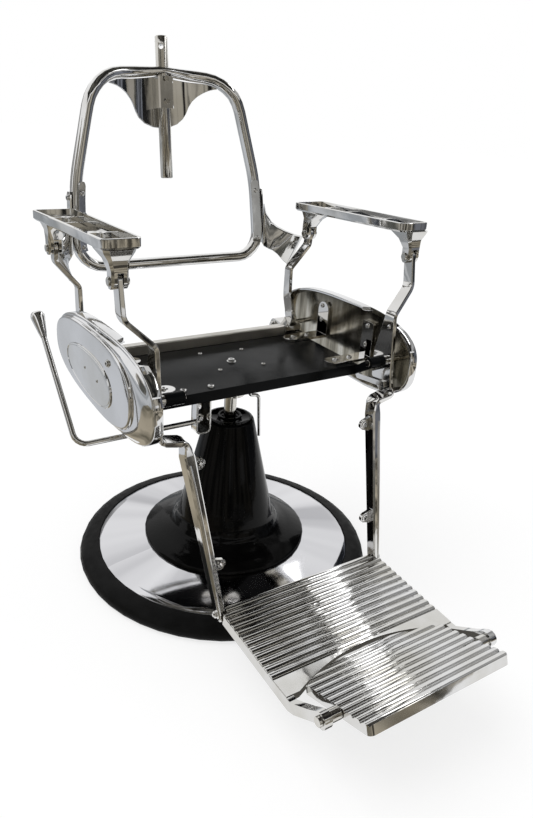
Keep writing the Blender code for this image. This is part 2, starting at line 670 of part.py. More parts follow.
def build_headrest_bracket(finish, body):
    axis_y = HOOP_FOOT.y + HEAD_POST_OFFSET
    front, rear = axis_y - 0.0170, axis_y + 0.0165
    low = HOOP_FOOT.z + 0.327
    high = under_rail(0.0175)
    screw_heights = [HOOP_FOOT.z + h for h in (0.341, 0.386)]
    screw_radius = 0.004
    socket = prism([(-0.0175, front + 0.003), (-0.0145, front), (0.0145, front), (0.0175, front + 0.003),
                    (0.0175, rear), (-0.0175, rear)], "Z", low, min(high, under_rail(0)))
    socket = cut(socket, drum("Z", (0, axis_y), HEAD_POST_RADIUS + PLAY, low - 0.01, high + 0.01, 20))
    for height in screw_heights:
        socket = cut(socket, drum("Y", (0, height), screw_radius + PLAY, front - 0.01, front + 0.008, 10))
    add("headrest_socket", lean(socket), finish["chrome"], body)

    for name, height in zip(("lower", "upper"), screw_heights):
        shank = drum("Y", (0, height), screw_radius, front - 0.004, axis_y - HEAD_POST_RADIUS - TOUCH, 10)
        head = drum("Y", (0, height), 0.0065, front - 0.005, front - TOUCH, 6)
        add(f"headrest_clamp_screw_{name}", lean(join(shank, head)), finish["steel"], body)

    add("headrest_bracket", lean(bell_plate(rear + TOUCH)), finish["cast"], body)


def bell_plate(front):
    """A bell-shaped wall that hangs from the top rail behind the socket and follows its bow."""
    edge = [(0.0, 0.287), (0.020, 0.2895), (0.039, 0.2965), (0.053, 0.308), (0.060, 0.319), (0.066, 0.333),
            (0.073, 0.3440), (0.084, 0.3545), (0.096, 0.3620), (0.108, 0.3670), (0.118, 0.3696),
            (0.127, 0.3710)]
    thick = 0.006
    flat, reach = 0.035, 0.108
    rings = []
    for x, height in [(-x, height) for x, height in reversed(edge[1:])] + edge:
        share = min(max(0.0, abs(x) - flat) / (reach - flat), 1.0)
        blend = share * share * (3 - 2 * share)
        y = front + blend * (HOOP_FOOT.y + rail_bow(x) - thick / 2 - front)
        low, high = HOOP_FOOT.z + height, under_rail(x)
        rings.append([Vector((x, y, low)), Vector((x, y, high)), Vector((x, y + thick, high)),
                      Vector((x, y + thick, low))])
    return loft(rings)


def build_headrest_post(finish, body):
    low, high = (HOOP_FOOT.z + h for h in HEAD_POST_SPAN)
    axis_y = HOOP_FOOT.y + HEAD_POST_OFFSET
    edge = 0.002
    rings = [(HEAD_POST_RADIUS - edge, low), (HEAD_POST_RADIUS, low + edge), (HEAD_POST_RADIUS, high - edge),
             (HEAD_POST_RADIUS - edge, high)]
    post = lathe(rings, 20)
    post.transform(Matrix.Translation((0, axis_y, 0)))
    hole = drum("Y", (0, high - 0.022), 0.0052, axis_y - 0.03, axis_y + 0.03, 14)
    post = cut(post, hole)
    axis = Vector((0, axis_y, 0))
    turn = Matrix.Rotation(HEAD_POST_TURN, 4, "Z")
    post.transform(Matrix.Translation(axis) @ turn @ Matrix.Translation(-axis))
    add("headrest_post", lean(post), finish["steel"], body)


# Armrests

def arm_top(y):
    return ARM_TOP_REAR + ARM_RISE * (ARM_REAR - y)


def tray_outline(inset):
    """The armrest seen from above: wider at the rear, with its corners cut round."""
    inner_front, outer_front = ARM_SIDES_FRONT
    inner_rear, outer_rear = ARM_SIDES_REAR
    corner = max(0.012 - inset, 0.004)
    rounding = ((corner, 0.0), (0.3 * corner, 0.3 * corner), (0.0, corner))
    outline = []
    for x, y, step_x, step_y in ((inner_front + inset, ARM_FRONT + inset, 1, 1),
                                 (inner_rear + inset, ARM_REAR - inset, 1, -1),
                                 (outer_rear - inset, ARM_REAR - inset, -1, -1),
                                 (outer_front - inset, ARM_FRONT + inset, -1, 1)):
        turn = rounding if step_x * step_y > 0 else rounding[::-1]
        outline += [(x + step_x * u, y + step_y * v) for u, v in turn]
    return outline


def tray_rib(y, boss):
    """A rib across the tray, with a screw boss in its middle if it has one."""
    share = (y - ARM_FRONT) / (ARM_REAR - ARM_FRONT)
    inner, outer = (front + share * (rear - front) for front, rear in zip(ARM_SIDES_FRONT, ARM_SIDES_REAR))
    inner, outer = inner + 0.004, outer - 0.004
    half, radius = 0.0025, 0.0085
    centre = ((inner + outer) / 2, y)
    near, far = [], []
    if boss:
        spread = math.degrees(math.asin(half / radius))
        near = arc(centre, radius, 180 + spread, 360 - spread, 7)
        far = arc(centre, radius, spread, 180 - spread, 7)
    outline = [(inner, y - half)] + near + [(outer, y - half), (outer, y + half)] + far + [(inner, y + half)]
    drops = (ARM_HEIGHT - ARM_FLOOR / 2, TRAY_RIB_DROP)
    return loft([[Vector((u, v, arm_top(v) - drop)) for u, v in outline] for drop in drops])


def clevis_neck(x, pin, root):
    """A neck flaring up from a round-ended clevis to the tray, as level rings."""
    tray_low = arm_top(root) - ARM_HEIGHT
    ear_top = pin[1] + 0.017
    half_x, half_y = 0.0145, 0.013
    rings = [(root, tray_low + 0.003, 0.033, 0.028), (root, tray_low - 0.003, 0.031, 0.026),
             ((root + pin[0]) / 2, (tray_low + ear_top) / 2, 0.019, 0.018), (pin[0], ear_top, half_y, half_x)]
    rings += [(pin[0], pin[1] - half_y * math.cos(a), half_y * math.sin(a), half_x)
              for a in map(math.radians, (90, 70, 45, 20))]
    return loft([[Vector((x + v, y + u, z)) for u, v in bar_section(wide, thick)]
                 for y, z, wide, thick in rings])


def armrest_casting():
    def level(inset, drop):
        return [Vector((x, y, arm_top(y) - drop)) for x, y in tray_outline(inset)]

    casting = loft([level(0.004, ARM_HEIGHT), level(0.0, ARM_HEIGHT - 0.004), level(0.0, 0.001),
                    level(0.001, 0.0), level(0.006, 0.0), level(0.008, ARM_HEIGHT - ARM_FLOOR)])
    casting = join(casting, tray_rib(TRAY_PLAIN_RIB, False), *(tray_rib(y, True) for y in TRAY_BOSSES))
    for y in TRAY_BOSSES:
        share = (y - ARM_FRONT) / (ARM_REAR - ARM_FRONT)
        x = (sum(ARM_SIDES_FRONT) + share * (sum(ARM_SIDES_REAR) - sum(ARM_SIDES_FRONT))) / 2
        casting = cut(casting, drum("Z", (x, y), 0.0032, arm_top(y) - 0.03, arm_top(y) + 0.01, 10))
    for x, pin, root in ((FRONT_PIN_X, FRONT_PIN, FRONT_PIN[0] + 0.014),
                         (REAR_PIN_X, REAR_PIN, REAR_PIN[0] - 0.022)):
        casting = join(casting, clevis_neck(x, pin, root))
        slot = prism([(pin[0] - 0.03, pin[1] - 0.03), (pin[0] + 0.03, pin[1] - 0.03),
                      (pin[0] + 0.03, pin[1] + 0.015), (pin[0] - 0.03, pin[1] + 0.015)],
                     "X", x - BAR_HALF - 0.0006, x + BAR_HALF + 0.0006)
        hole = drum("X", pin, CLEVIS_PIN_RADIUS + PLAY, x - 0.04, x + 0.04)
        casting = cut(casting, slot, hole)
    return casting


def build_armrest(finish, body, name, side):
    add(f"armrest_{name}", mirrored(armrest_casting(), side), finish["cast"], body)
    for place, x, pin in (("front", FRONT_PIN_X, FRONT_PIN), ("rear", REAR_PIN_X, REAR_PIN)):
        ear = 0.0145 + TOUCH
        profile = [(x - ear - 0.003, 0.007), (x - ear, 0.008), (x - ear, CLEVIS_PIN_RADIUS),
                   (x + ear, CLEVIS_PIN_RADIUS), (x + ear, 0.008), (x + ear + 0.003, 0.007)]
        add(f"armrest_pin_{place}_{name}", mirrored(spindle(profile, pin), side), finish["steel"], body)


# Leg rest

def build_legrest(finish, body):
    for name, side in SIDES:
        add(f"front_lever_{name}", mirrored(front_lever(), side), finish["chrome"], body)
        collar = FLIP_HALF_WIDTH + 0.001
        arm_inner, arm_outer = WALL_INNER - TOUCH, TREAD_HALF_WIDTH + TOUCH
        profile = [(0.128, HINGE_RADIUS), (collar, HINGE_RADIUS), (collar, 0.011), (arm_inner, 0.011),
                   (arm_inner, HINGE_RADIUS), (arm_outer, HINGE_RADIUS), (arm_outer, 0.009),
                   (arm_outer + 0.005, 0.0085)]
        add(f"tread_hinge_bolt_{name}", mirrored(spindle(profile, FLIP_AXIS), side), finish["steel"], body)
    stay = [(-0.200, 0.4405), (-0.196, 0.4520), (-0.130, 0.4435), (-0.112, 0.4415), (-0.106, 0.4365),
            (-0.112, 0.4300)]
    lever_face = FRONT_BAR_X - BAR_HALF
    add("recline_stay", prism(stay, "X", lever_face - 0.0053, lever_face - 0.0005), finish["chrome"], body)
    add("footrest_plate", footrest_casting(), finish["cast"], body)


def front_lever():
    """Armrest post, pivot plate, foot and leg in one bent bar, with two pad lugs on the leg."""
    pin = (FRONT_PIN_X, *FRONT_PIN)
    knee = (FRONT_PIN_X, -0.167, 0.642)
    leg_top = Vector((0.216, -0.209, 0.4215))
    leg_neck = Vector((0.2135, -0.2165, 0.395))
    leg_foot = Vector((0.1845, -0.3120, 0.0920))
    row = eye(pin, knee, 0.0125, BAR_HALF)
    row += [(knee, 0.013, BAR_HALF, 0.026), ((FRONT_BAR_X, -0.182, 0.594), 0.014, BAR_HALF, 0.016),
            ((FRONT_BAR_X, -0.1796, 0.550), 0.020, BAR_HALF, 0),
            ((FRONT_BAR_X, -0.1765, 0.508), 0.0275, BAR_HALF, 0),
            ((FRONT_BAR_X, -0.1800, 0.460), 0.0295, BAR_HALF, 0),
            ((FRONT_BAR_X, -0.203, 0.428), 0.018, BAR_HALF, 0.010), (leg_top, 0.016, 0.006, 0.012),
            (leg_neck, 0.0155, 0.0105, 0), (leg_foot, 0.0115, 0.0075, 0)]
    lever = sweep(bend(row), Vector((0, 1, 0)), bar_section)
    for height in (0.376, 0.190):
        leg = leg_neck.lerp(leg_foot, (leg_neck.z - height) / (leg_neck.z - leg_foot.z))
        centre = (leg.x - 0.021, height)
        tongue = arc(centre, 0.0115, 90, 270, 8) + [(leg.x, height - 0.019), (leg.x, height + 0.019)]
        lever = join(lever, prism(tongue, "Y", leg.y, leg.y + 0.007))
        lever = cut(lever, drum("Y", centre, 0.0045, leg.y - 0.02, leg.y + 0.02, 10))
    return cut(lever, drum("X", FRONT_PIN, CLEVIS_PIN_RADIUS + PLAY, 0.29, 0.33),
               drum("X", FRONT_PIVOT, PIVOT_RADIUS + PLAY, 0.24, 0.27))


def ribbed_outline(start, end, count, top, depth):
    """The top edge of a ribbed tread from start to end, where top gives its height."""
    pitch = (end - start) / count
    edge = []
    for i in range(count):
        foot = start + i * pitch
        for share, rise in RIB_SHAPE:
            place = foot + share * pitch
            edge.append((place, top(place) - depth * (1 - rise)))
    return edge


def footrest_casting():
    fall = (TREAD_TOP_FRONT - TREAD_TOP_REAR) / (TREAD_RIBS_END - TREAD_REAR)

    def top(y):
        return TREAD_TOP_REAR + fall * (y - TREAD_REAR)

    edge = ribbed_outline(TREAD_REAR, TREAD_RIBS_END, RIB_COUNT, top, RIB_HEIGHT)
    edge += [(TREAD_RIBS_END, top(TREAD_RIBS_END)), (TREAD_FRONT, top(TREAD_FRONT)),
             (TREAD_FRONT, top(TREAD_FRONT) - TREAD_THICK), (TREAD_REAR, TREAD_TOP_REAR - TREAD_THICK)]
    casting = prism(edge, "X", 0.001 - TREAD_HALF_WIDTH, TREAD_HALF_WIDTH - 0.001)
    hollow = [(FLIP_HALF_WIDTH + 0.009) * i / 8 for i in range(-8, 9)]
    bay = [(x, TREAD_FRONT + 0.036 * (1 - (x / hollow[-1]) ** 2)) for x in hollow]
    bay += [(hollow[-1], TREAD_FRONT - 0.05), (hollow[0], TREAD_FRONT - 0.05)]
    casting = cut(casting, prism(bay, "Z", 0.0, 0.3))
    ledge = RIB_HEIGHT - 0.0006
    wall = [(TREAD_REAR, 0.0905), (TREAD_REAR, top(TREAD_REAR) - ledge),
            (TREAD_RIBS_END, top(TREAD_RIBS_END) - ledge), (-0.545, 0.1010), (-0.590, 0.130)]
    wall += arc(FLIP_AXIS, 0.0145, 60, 300, 8) + [(-0.556, 0.085), (-0.540, 0.079)]
    front, rear = LEG_BAY_FRONT, TREAD_REAR + 0.01
    leg_bay = [(front, 0.0), (rear, 0.0), (rear, 0.2), (front, 0.2)]
    for side in (-1.0, 1.0):
        arm = prism(wall, "X", WALL_INNER, TREAD_HALF_WIDTH)
        arm = cut(arm, drum("X", FLIP_AXIS, HINGE_RADIUS + PLAY, 0.15, 0.21))
        casting = join(casting, mirrored(arm, side))
        casting = cut(casting, mirrored(prism(leg_bay, "X", LEG_BAY_X, 0.25), side))
    return casting


def flip_corner():
    """Outline of what is taken off a front corner of the flip tread to round it."""
    radius, spare = 0.010, 0.008
    side, front = FLIP_HALF_WIDTH, -FLIP_FRONT
    turn = arc((side - radius, front + radius), radius, 0, -90, 4)
    outside = [(side - radius, front - spare), (side + spare, front - spare), (side + spare, front + radius)]
    return turn + outside


def build_flip_tread(finish, body):
    """The reversible tread, drawn flat along Y with its hinge at the origin and then tilted."""
    edge = [(-place, height) for place, height in
            ribbed_outline(FLIP_REAR, FLIP_FRONT, FLIP_RIB_COUNT, lambda u: FLIP_HALF_THICK, RIB_HEIGHT)]
    edge += [(-FLIP_FRONT, FLIP_HALF_THICK), (-FLIP_FRONT, -FLIP_HALF_THICK), (-FLIP_REAR, -FLIP_HALF_THICK)]
    tread = prism(edge, "X", -FLIP_HALF_WIDTH, FLIP_HALF_WIDTH)
    spread = [(FLIP_HALF_WIDTH + 0.004) * i / 8 for i in range(-8, 9)]
    bow = [(x, -FLIP_REAR - 0.0005 - 0.036 * (x / spread[-1]) ** 2) for x in spread]
    bow += [(spread[-1], 0.15), (spread[0], 0.15)]
    tread = cut(tread, prism(bow, "Z", -0.03, 0.03))
    for _, side in SIDES:
        tread = cut(tread, mirrored(prism(flip_corner(), "Z", -0.03, 0.03), side))
    for low, high in ((-0.16, -0.126), (0.126, 0.16)):
        tread = cut(tread, drum("X", (0, 0), HINGE_RADIUS + PLAY, low, high, 12))
    tread.transform(Matrix.Translation((0, *FLIP_AXIS)) @ Matrix.Rotation(-FLIP_TILT, 4, "X"))
    add("flip_tread", tread, finish["cast"], body)


# Pump lever

def build_pump_lever(finish, body):
    heading = Vector((0, math.cos(LEVER_RISE), math.sin(LEVER_RISE)))
    elbow = Vector((LEVER_ELBOW_X, *LEVER_AXIS))
    tip = elbow + heading * LEVER_LENGTH
    size = (LEVER_RADIUS, LEVER_RADIUS)
    row = bend([((LEVER_INNER_X, *LEVER_AXIS), *size, 0), (elbow, *size, 0.022), (tip, *size, 0)], steps=5)
    add("lever_rod", sweep(row, Vector((0.3, -1, 1)), round_section(10)), finish["chrome"], body)

    profile = [(0.0055, TOUCH), (0.0075, 0.010), (0.0125, 0.040), (0.0130, 0.046), (0.0110, 0.051),
               (0.006, 0.053)]
    knob = lathe(profile, 16)
    knob.transform(Matrix.Translation(tip) @ heading.to_track_quat("Z", "Y").to_matrix().to_4x4())
    add("lever_knob", knob, finish["chrome"], body)


def build_chair():
    clear_scene()
    finish = {
        "chrome": material("chrome", (0.78, 0.78, 0.77), 0.08, 1.0),
        "cast": material("cast_chrome", (0.76, 0.76, 0.75), 0.10, 1.0),
        "steel": material("steel", (0.55, 0.54, 0.52), 0.25, 1.0),
        "iron": material("iron", (0.05, 0.05, 0.05), 0.60, 0.3),
        "black": material("gloss_black", (0.006, 0.006, 0.006), 0.12, 0.0),
        "satin": material("satin_black", (0.018, 0.019, 0.020), 0.38, 0.0),
        "rubber": material("rubber", (0.012, 0.012, 0.012), 0.55, 0.0),
    }
    base = pivot("base", (0, 0, 0))
    lift = pivot("lift", (0, 0, ROD_TOP), base)
    seat = pivot("seat", (0, 0, SEAT_TOP), lift)
    back = pivot("back", (0, *REAR_PIVOT), seat)
    legrest = pivot("legrest", (0, *FRONT_PIVOT), seat)
    tread = pivot("tread", (0, *FLIP_AXIS), legrest)
    headrest = pivot("headrest", tuple(HOOP_FOOT), back)
    lever = pivot("lever", (LEVER_ELBOW_X, *LEVER_AXIS), seat)

    build_base(finish, base)
    build_piston(finish, lift)
    build_seat(finish, seat)
    build_back(finish, back)
    build_headrest_post(finish, headrest)
    for name, side in SIDES:
        arm = pivot(f"arm_{name}", (side * REAR_PIN_X, *REAR_PIN), back)
        build_armrest(finish, arm, name, side)
    build_legrest(finish, legrest)
    build_flip_tread(finish, tread)
    build_pump_lever(finish, lever)


build_chair()
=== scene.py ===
"""Looks of a bare barber chair frame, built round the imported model.

Metres, +Z up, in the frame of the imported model: the chair faces -Y, left is -X and right is +X.
"""
import json
import math

import bmesh
import bpy
from mathutils import Matrix, Vector


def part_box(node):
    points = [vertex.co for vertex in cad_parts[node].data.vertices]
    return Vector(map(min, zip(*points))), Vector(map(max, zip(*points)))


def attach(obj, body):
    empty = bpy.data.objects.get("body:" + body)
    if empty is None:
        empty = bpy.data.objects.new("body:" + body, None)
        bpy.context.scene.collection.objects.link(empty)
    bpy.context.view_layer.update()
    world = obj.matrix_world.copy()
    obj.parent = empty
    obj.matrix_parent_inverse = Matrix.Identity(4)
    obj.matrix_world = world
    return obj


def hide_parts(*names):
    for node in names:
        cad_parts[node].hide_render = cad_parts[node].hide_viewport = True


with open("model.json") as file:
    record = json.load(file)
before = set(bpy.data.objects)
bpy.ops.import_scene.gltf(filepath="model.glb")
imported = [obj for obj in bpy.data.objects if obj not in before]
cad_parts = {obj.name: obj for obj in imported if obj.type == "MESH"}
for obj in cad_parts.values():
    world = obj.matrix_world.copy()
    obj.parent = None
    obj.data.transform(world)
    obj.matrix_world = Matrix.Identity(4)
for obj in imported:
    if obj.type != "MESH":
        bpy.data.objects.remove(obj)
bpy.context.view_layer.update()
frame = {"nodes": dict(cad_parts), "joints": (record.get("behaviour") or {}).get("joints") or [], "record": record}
nodes = frame["nodes"]
joints = {row["name"]: row for row in frame["joints"]}


def grey(level):
    return (level, level, level)


# Directions, as seen on the right side; the left side mirrors them
UP = (0, 0, 1)
FORWARDS = (0, -1, 0)
INWARDS = (-1, 0, 0)
OUTWARDS = (1, 0, 0)
SIDES = (("left", -1), ("right", 1))

# Camera of the photograph, whose longer side is its height
FOCAL_PIXELS = 711.2
FRAME_HEIGHT = 818
SENSOR = 36.0
CAMERA_PLACE = Vector((-0.7212, -1.2023, 0.9982))
CAMERA_AZIMUTH = math.radians(-34.178)
CAMERA_ELEVATION = math.radians(24.481)
CAMERA_ROLL = math.radians(4.136)

# Floor and light
FLOOR_RADIUS = 14.0
FLOOR_DROP = 0.0006             # how far the floor lies under the foot of the chair
FLOOR_PAINT = 0.30
FLOOR_GLOW = 0.74               # what is added to the paint where the floor shows as background
FILL_STRENGTH = 0.62
SUN_STRENGTH = 1.15
SUN_SPREAD = math.radians(50)
SUN_TURN = (math.radians(-18), math.radians(-22), 0)

# Cards that only mirrors see: extent in X, Y and Z, darkest and lightest colour, streaks' scale and stretch
GROUND = 0.001
CEILING = 3.2
FRONT = -3.8
CLOSER_FRONT = -3.75
REAR = 7.0
OLIVE = ((0.06, 0.055, 0.045), (0.50, 0.45, 0.36))
PALE_OLIVE = ((0.15, 0.135, 0.10), (0.44, 0.39, 0.30))
GROUND_STREAKS = (1.0, 0.35, 1.0)
CEILING_STREAKS = (1.0, 0.4, 1.0)
WALL_STREAKS = (1.0, 1.0, 0.25)
STREAK_DETAIL = 3.0
CARD_STOPS = (0.44, 0.58)       # levels of the noise that show the darkest and the lightest colour
CARDS = (
    ("card_ground", ((-3.2, 0.08), (-4.5, -0.98), GROUND), OLIVE, 2.4, GROUND_STREAKS),
    ("card_ground_right", ((0.08, 3.6), (-4.5, -1.12), GROUND), OLIVE, 2.4, GROUND_STREAKS),
    ("card_ground_left", ((-3.2, -0.36), (-0.98, 0.55), GROUND), PALE_OLIVE, 2.4, GROUND_STREAKS),
    # Painted shadow: a dark card under the footrest, seen only in mirrors, stands in for the shaded floor there.
    ("card_painted_floor_shadow", ((-0.185, 0.185), (-0.69, -0.335), 0.0012),
     (grey(0.02), (0.10, 0.095, 0.085)), 2.4, GROUND_STREAKS),
    ("card_ground_rear", ((-5.0, 3.2), (0.55, REAR), GROUND),
     ((0.36, 0.38, 0.40), (0.62, 0.64, 0.67)), 1.2, GROUND_STREAKS),
    ("card_wall_rear", ((-6.0, 1.2), REAR, (0.0, 1.9)), (grey(0.20), grey(0.52)), 0.8, (1.0, 1.0, 0.3)),
    ("card_ceiling", ((-3.0, 2.3), (FRONT, 1.2), CEILING),
     (grey(0.012), (0.12, 0.115, 0.10)), 1.2, CEILING_STREAKS),
    ("card_ceiling_right", ((2.3, 5.0), (FRONT, 1.2), CEILING),
     (grey(0.22), grey(0.52)), 1.2, CEILING_STREAKS),
    ("card_front", ((-3.4, 4.2), FRONT, (0.0, 2.7)),
     (grey(0.012), (0.44, 0.41, 0.35)), 1.5, WALL_STREAKS),
    ("card_front_low", ((0.7, 1.8), CLOSER_FRONT, (0.45, 0.95)),
     (grey(0.62), grey(0.85)), 1.5, WALL_STREAKS),
    ("card_front_middle", ((-1.6, -0.7), CLOSER_FRONT, (0.5, 1.35)),
     ((0.34, 0.34, 0.33), (0.72, 0.72, 0.71)), 2.2, WALL_STREAKS),
    ("card_left", (-3.4, (FRONT, 2.0), (0.0, 2.3)),
     ((0.10, 0.10, 0.09), (0.50, 0.47, 0.42)), 1.5, WALL_STREAKS),
    ("card_right", (3.0, (FRONT, 1.0), (0.0, 2.3)),
     ((0.015, 0.017, 0.02), (0.20, 0.21, 0.24)), 1.8, WALL_STREAKS),
)

# Arched strip light over the treads
STRIP_CENTRE = Vector((0.0, -0.45, 0.11))
STRIP_REACH = 2.6
STRIP_ASIDE = (0.505, 0.555)    # how far to the right its two edges lie, as shares of the reach
STRIP_START = 47                # degrees up from the rear, as seen from its centre
STRIP_SWEEP = 58                # degrees from there over the top
STRIP_STEPS = 24
STRIP_STRENGTH = 4.0

# Noises of the finishes, as scale, detail and, where they are drawn out, stretch
SMUDGES = (9.0, 4.0)
WIPES = (26.0, 5.0)
WAVES = (22.0, 2.0)
GRAIN = (700.0, 2.0)
GRAIN_DEPTH = 0.000003
NOISE_RANGE = (0.3, 0.7)        # what most of a noise lies between
POLISHED = ((WAVES, 0.0003), (GRAIN, GRAIN_DEPTH))

# Finishes that are alike all over: metallic, colour by a noise, roughness by a noise, bumps, other sockets
PLAIN_FINISHES = {
    "chrome": (1.0, (SMUDGES, ((0.35, (0.66, 0.65, 0.63)), (0.62, grey(0.78)))),
               (WIPES, 0.03, 0.08), POLISHED, {}),
    "cast_chrome": (1.0, (SMUDGES, ((0.35, (0.60, 0.59, 0.56)), (0.62, grey(0.72)))),
                    (WIPES, 0.04, 0.09), POLISHED, {}),
    "rail_chrome": (1.0, ((6.0, 4.0), ((0.35, (0.50, 0.485, 0.44)), (0.65, (0.72, 0.70, 0.66)))),
                    ((30.0, 3.0), 0.30, 0.42), (((500.0, 2.0, (0.05, 1, 1)), 0.00002),), {}),
    "steel": (1.0, ((14.0, 4.0), ((0.3, (0.52, 0.50, 0.46)), (0.7, (0.66, 0.65, 0.62)))),
              ((40.0, 3.0), 0.08, 0.16),
              (((30.0, 2.0), 0.0002), ((900.0, 2.0, (1, 1, 0.1)), GRAIN_DEPTH)), {}),
    "iron": (0.2, ((120.0, 4.0), ((0.3, grey(0.02)), (0.7, grey(0.06)))),
             ((150.0, 3.0), 0.5, 0.7), (((400.0, 4.0), 0.0004),), {}),
    "gloss_black": (0.0, ((14.0, 5.0), ((0.3, grey(0.0012)), (0.75, (0.0035, 0.0035, 0.0036)))),
                    ((35.0, 5.0), 0.08, 0.18), (((90.0, 2.0), 0.00025),),
                    {"Specular IOR Level": 0.07, "Coat Weight": 0.08, "Coat Roughness": 0.04}),
    "satin_black": (0.0, ((10.0, 5.0), ((0.3, (0.003, 0.0034, 0.0037)), (0.75, (0.007, 0.0077, 0.0083)))),
                    ((18.0, 5.0), 0.13, 0.24), (((30.0, 2.0), 0.0002), ((1500.0, 2.0), 0.000008)),
                    {"Specular IOR Level": 0.055}),
    "rubber": (0.0, ((30.0, 5.0), ((0.3, grey(0.003)), (0.75, grey(0.008)))),
               ((60.0, 4.0), 0.42, 0.62), (((1200.0, 3.0), 0.00012),), {"Specular IOR Level": 0.10}),
}
# The base plate's finish carries painted reflections in wedges round its centre.
OWN_FINISHES = {"base_plate": "plate_chrome_painted_wedges", "rear_rail": "rail_chrome", "pump_bracket": "bracket_chrome"}

# Nodes that are round all over, and how wide edges are rounded, by the start of a node's name
ROUND_NODES = ("back_hoop", "headrest_post", "lever_rod", "lever_knob", "piston_rod", "column_skirt",
               "base_ring", "base_plate", "column_guard_rod", "recline_stay")
EDGE_WIDTHS = (("armrest_pin", 0.0006), ("armrest", 0.0034), ("front_lever", 0.0018), ("rear_post", 0.0018),
               ("back_arm", 0.0022), ("flip_tread", 0.0012), ("footrest_plate", 0.0010),
               ("base_ring", 0.0020), ("headrest_bracket", 0.0012), ("headrest_socket", 0.0012),
               ("pump_bracket", 0.0010))
EDGE_WIDTH = 0.0006             # of all other nodes
EDGE_SEGMENTS = 3
ROUND_ANGLE = math.radians(62)  # a round node has an edge where its surface turns by more than this
SHARP_ANGLE = math.radians(36)  # the same for everything else
WELD = 0.00002                  # corners closer than this are one

# Fittings, as rings of outline, size and height; both are shares of the fitting's radius
PAN_HEAD = (("round", 1.0, -0.06), ("round", 1.0, 0.22), ("round", 0.93, 0.40), ("round", 0.76, 0.55),
            ("cross", 0.54, 0.60), ("cross", 0.48, 0.20))
SOCKET_HEAD = (("round", 1.35, -0.05), ("round", 1.35, 0.12), ("round", 1.28, 0.16), ("round", 1.0, 0.17),
               ("round", 1.0, 0.60), ("round", 0.90, 0.72), ("hex", 0.50, 0.72), ("hex", 0.46, 0.26))
NUT = (("round", 1.42, -0.05), ("round", 1.42, 0.12), ("round", 1.34, 0.17), ("hex", 0.90, 0.18),
       ("hex", 0.90, 0.80), ("round", 0.84, 0.92), ("round", 0.52, 0.92), ("round", 0.52, 1.20),
       ("round", 0.42, 1.28))
DOME = (("round", 1.0, -0.08), ("round", 1.0, 0.08), ("round", 0.90, 0.30), ("round", 0.66, 0.48),
        ("round", 0.34, 0.57), ("round", 0.10, 0.60))

# Fittings with a hole through them, whose last ring meets the first
EYELET = (("round", 0.58, -0.05), ("round", 1.0, -0.05), ("round", 1.0, 0.10), ("round", 0.90, 0.20),
          ("round", 0.68, 0.20), ("round", 0.58, 0.10))
SLEEVE = (("round", 0.78, 0.0), ("round", 1.0, 0.0), ("round", 1.0, 0.96), ("round", 0.78, 0.96))
COLLAR = (("round", 0.76, -0.02), ("round", 1.0, -0.02), ("round", 1.0, 0.12), ("round", 0.95, 0.18),
          ("round", 0.82, 0.18), ("round", 0.76, 0.10))
FITTING_STEPS = 32
CROSS_ARM = 0.34                # half width of a cross recess's arms, as a share of their length

# Side covers, in Y and Z where a pair is given; a profile's rows are X and the inset from the outline
COVER_CENTRE = (-0.0166, 0.4989)
COVER_HALF = (0.2291, 0.0835)
COVER_TAPER = -0.11
COVER_POWER = 2.685
COVER_SLOPE = 0.0197
COVER_REAR = 0.2125
COVER_NOTCH = (-0.183, -0.086, 0.5289)      # its front and rear end in Y, and the height it starts at
NOTCH_X = 0.288                 # how far out it is cut
COVER_STEPS = 180
HOLLOW_PROFILE = ((0.2896, 0.0120), (0.2892, 0.0104), (0.2880, 0.0096), (0.2740, 0.0070), (0.2724, 0.0060),
                  (0.2720, 0.0045), (0.2720, 0.0018), (0.2724, 0.0005), (0.2735, 0.0))
RIM_X = 0.2940
RIM_RADIUS = 0.0045
BORDER_X = 0.3008               # where the border meets the raised oval
BORDER_SHARES = (0.15, 0.3, 0.45, 0.6, 0.75, 0.9)
COVER_FALL = 0.12               # how the border outside the raised oval falls towards the rim, per width
COVER_SWELL = 0.05              # how far that border stands proud, per width
RAISED_CENTRE = (0.011, COVER_CENTRE[1])
RAISED_HALF = (0.194, 0.074)
RAISED_X = 0.3018
RAISED_RADIUS = 0.0042
RAISED_INSET = 0.0006
RAISED_CROWN = 0.0004
INLAY_CENTRE = (0.015, 0.486)
INLAY_HALF = (0.117, 0.0455)
INLAY_POWER = 2.3
INLAY_PROFILE = ((0.3061, 0.0), (0.3074, 0.0), (0.3082, 0.0006), (0.3085, 0.0016), (0.3083, 0.0026),
                 (0.3073, 0.0032), (0.3073, 0.0046), (0.3081, 0.0052), (0.3084, 0.0064))
INLAY_CROWN = 0.0012
CROWN_SHARES = (0.86, 0.70, 0.52, 0.34, 0.16, 0.03)
COVER_MIDDLE = (0.286, COVER_CENTRE[0], 0.4945)     # a point in the hollow, which its surfaces face
HOLLOW_SHADE_FROM = 0.50              # height from which painted shade darkens the hollow towards its top
HOLLOW_SHADE_RISE = 15.0              # how fast it does so, per metre
HOLLOW_DULL = 0.10              # what the hollow's roughness adds

# Faces of the nodes that carry fittings
PLATE_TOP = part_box("seat_plate")[1].z
SKIRT_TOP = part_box("column_skirt")[1].z
COVER_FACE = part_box("side_cover_right")[1].x
INLAY_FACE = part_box("cover_inlay_right")[1].x
BRACKET_SHEET = 0.006
BRACKET_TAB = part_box("cover_bracket_front_right")[0].z + BRACKET_SHEET
BRACKET_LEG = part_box("cover_bracket_front_right")[1].x - BRACKET_SHEET
LUG_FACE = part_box("rear_pivot_lug_right")[0].x
SLEEVE_GAP = 0.0006
SLEEVE_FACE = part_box("front_pivot_bracket_right")[1].x + SLEEVE_GAP
PUMP_WEB_Y = -0.0975
PUMP_SHADE_EDGE = -0.0980         # the pump bracket's web is painted dark behind this, as painted shade between the flanges
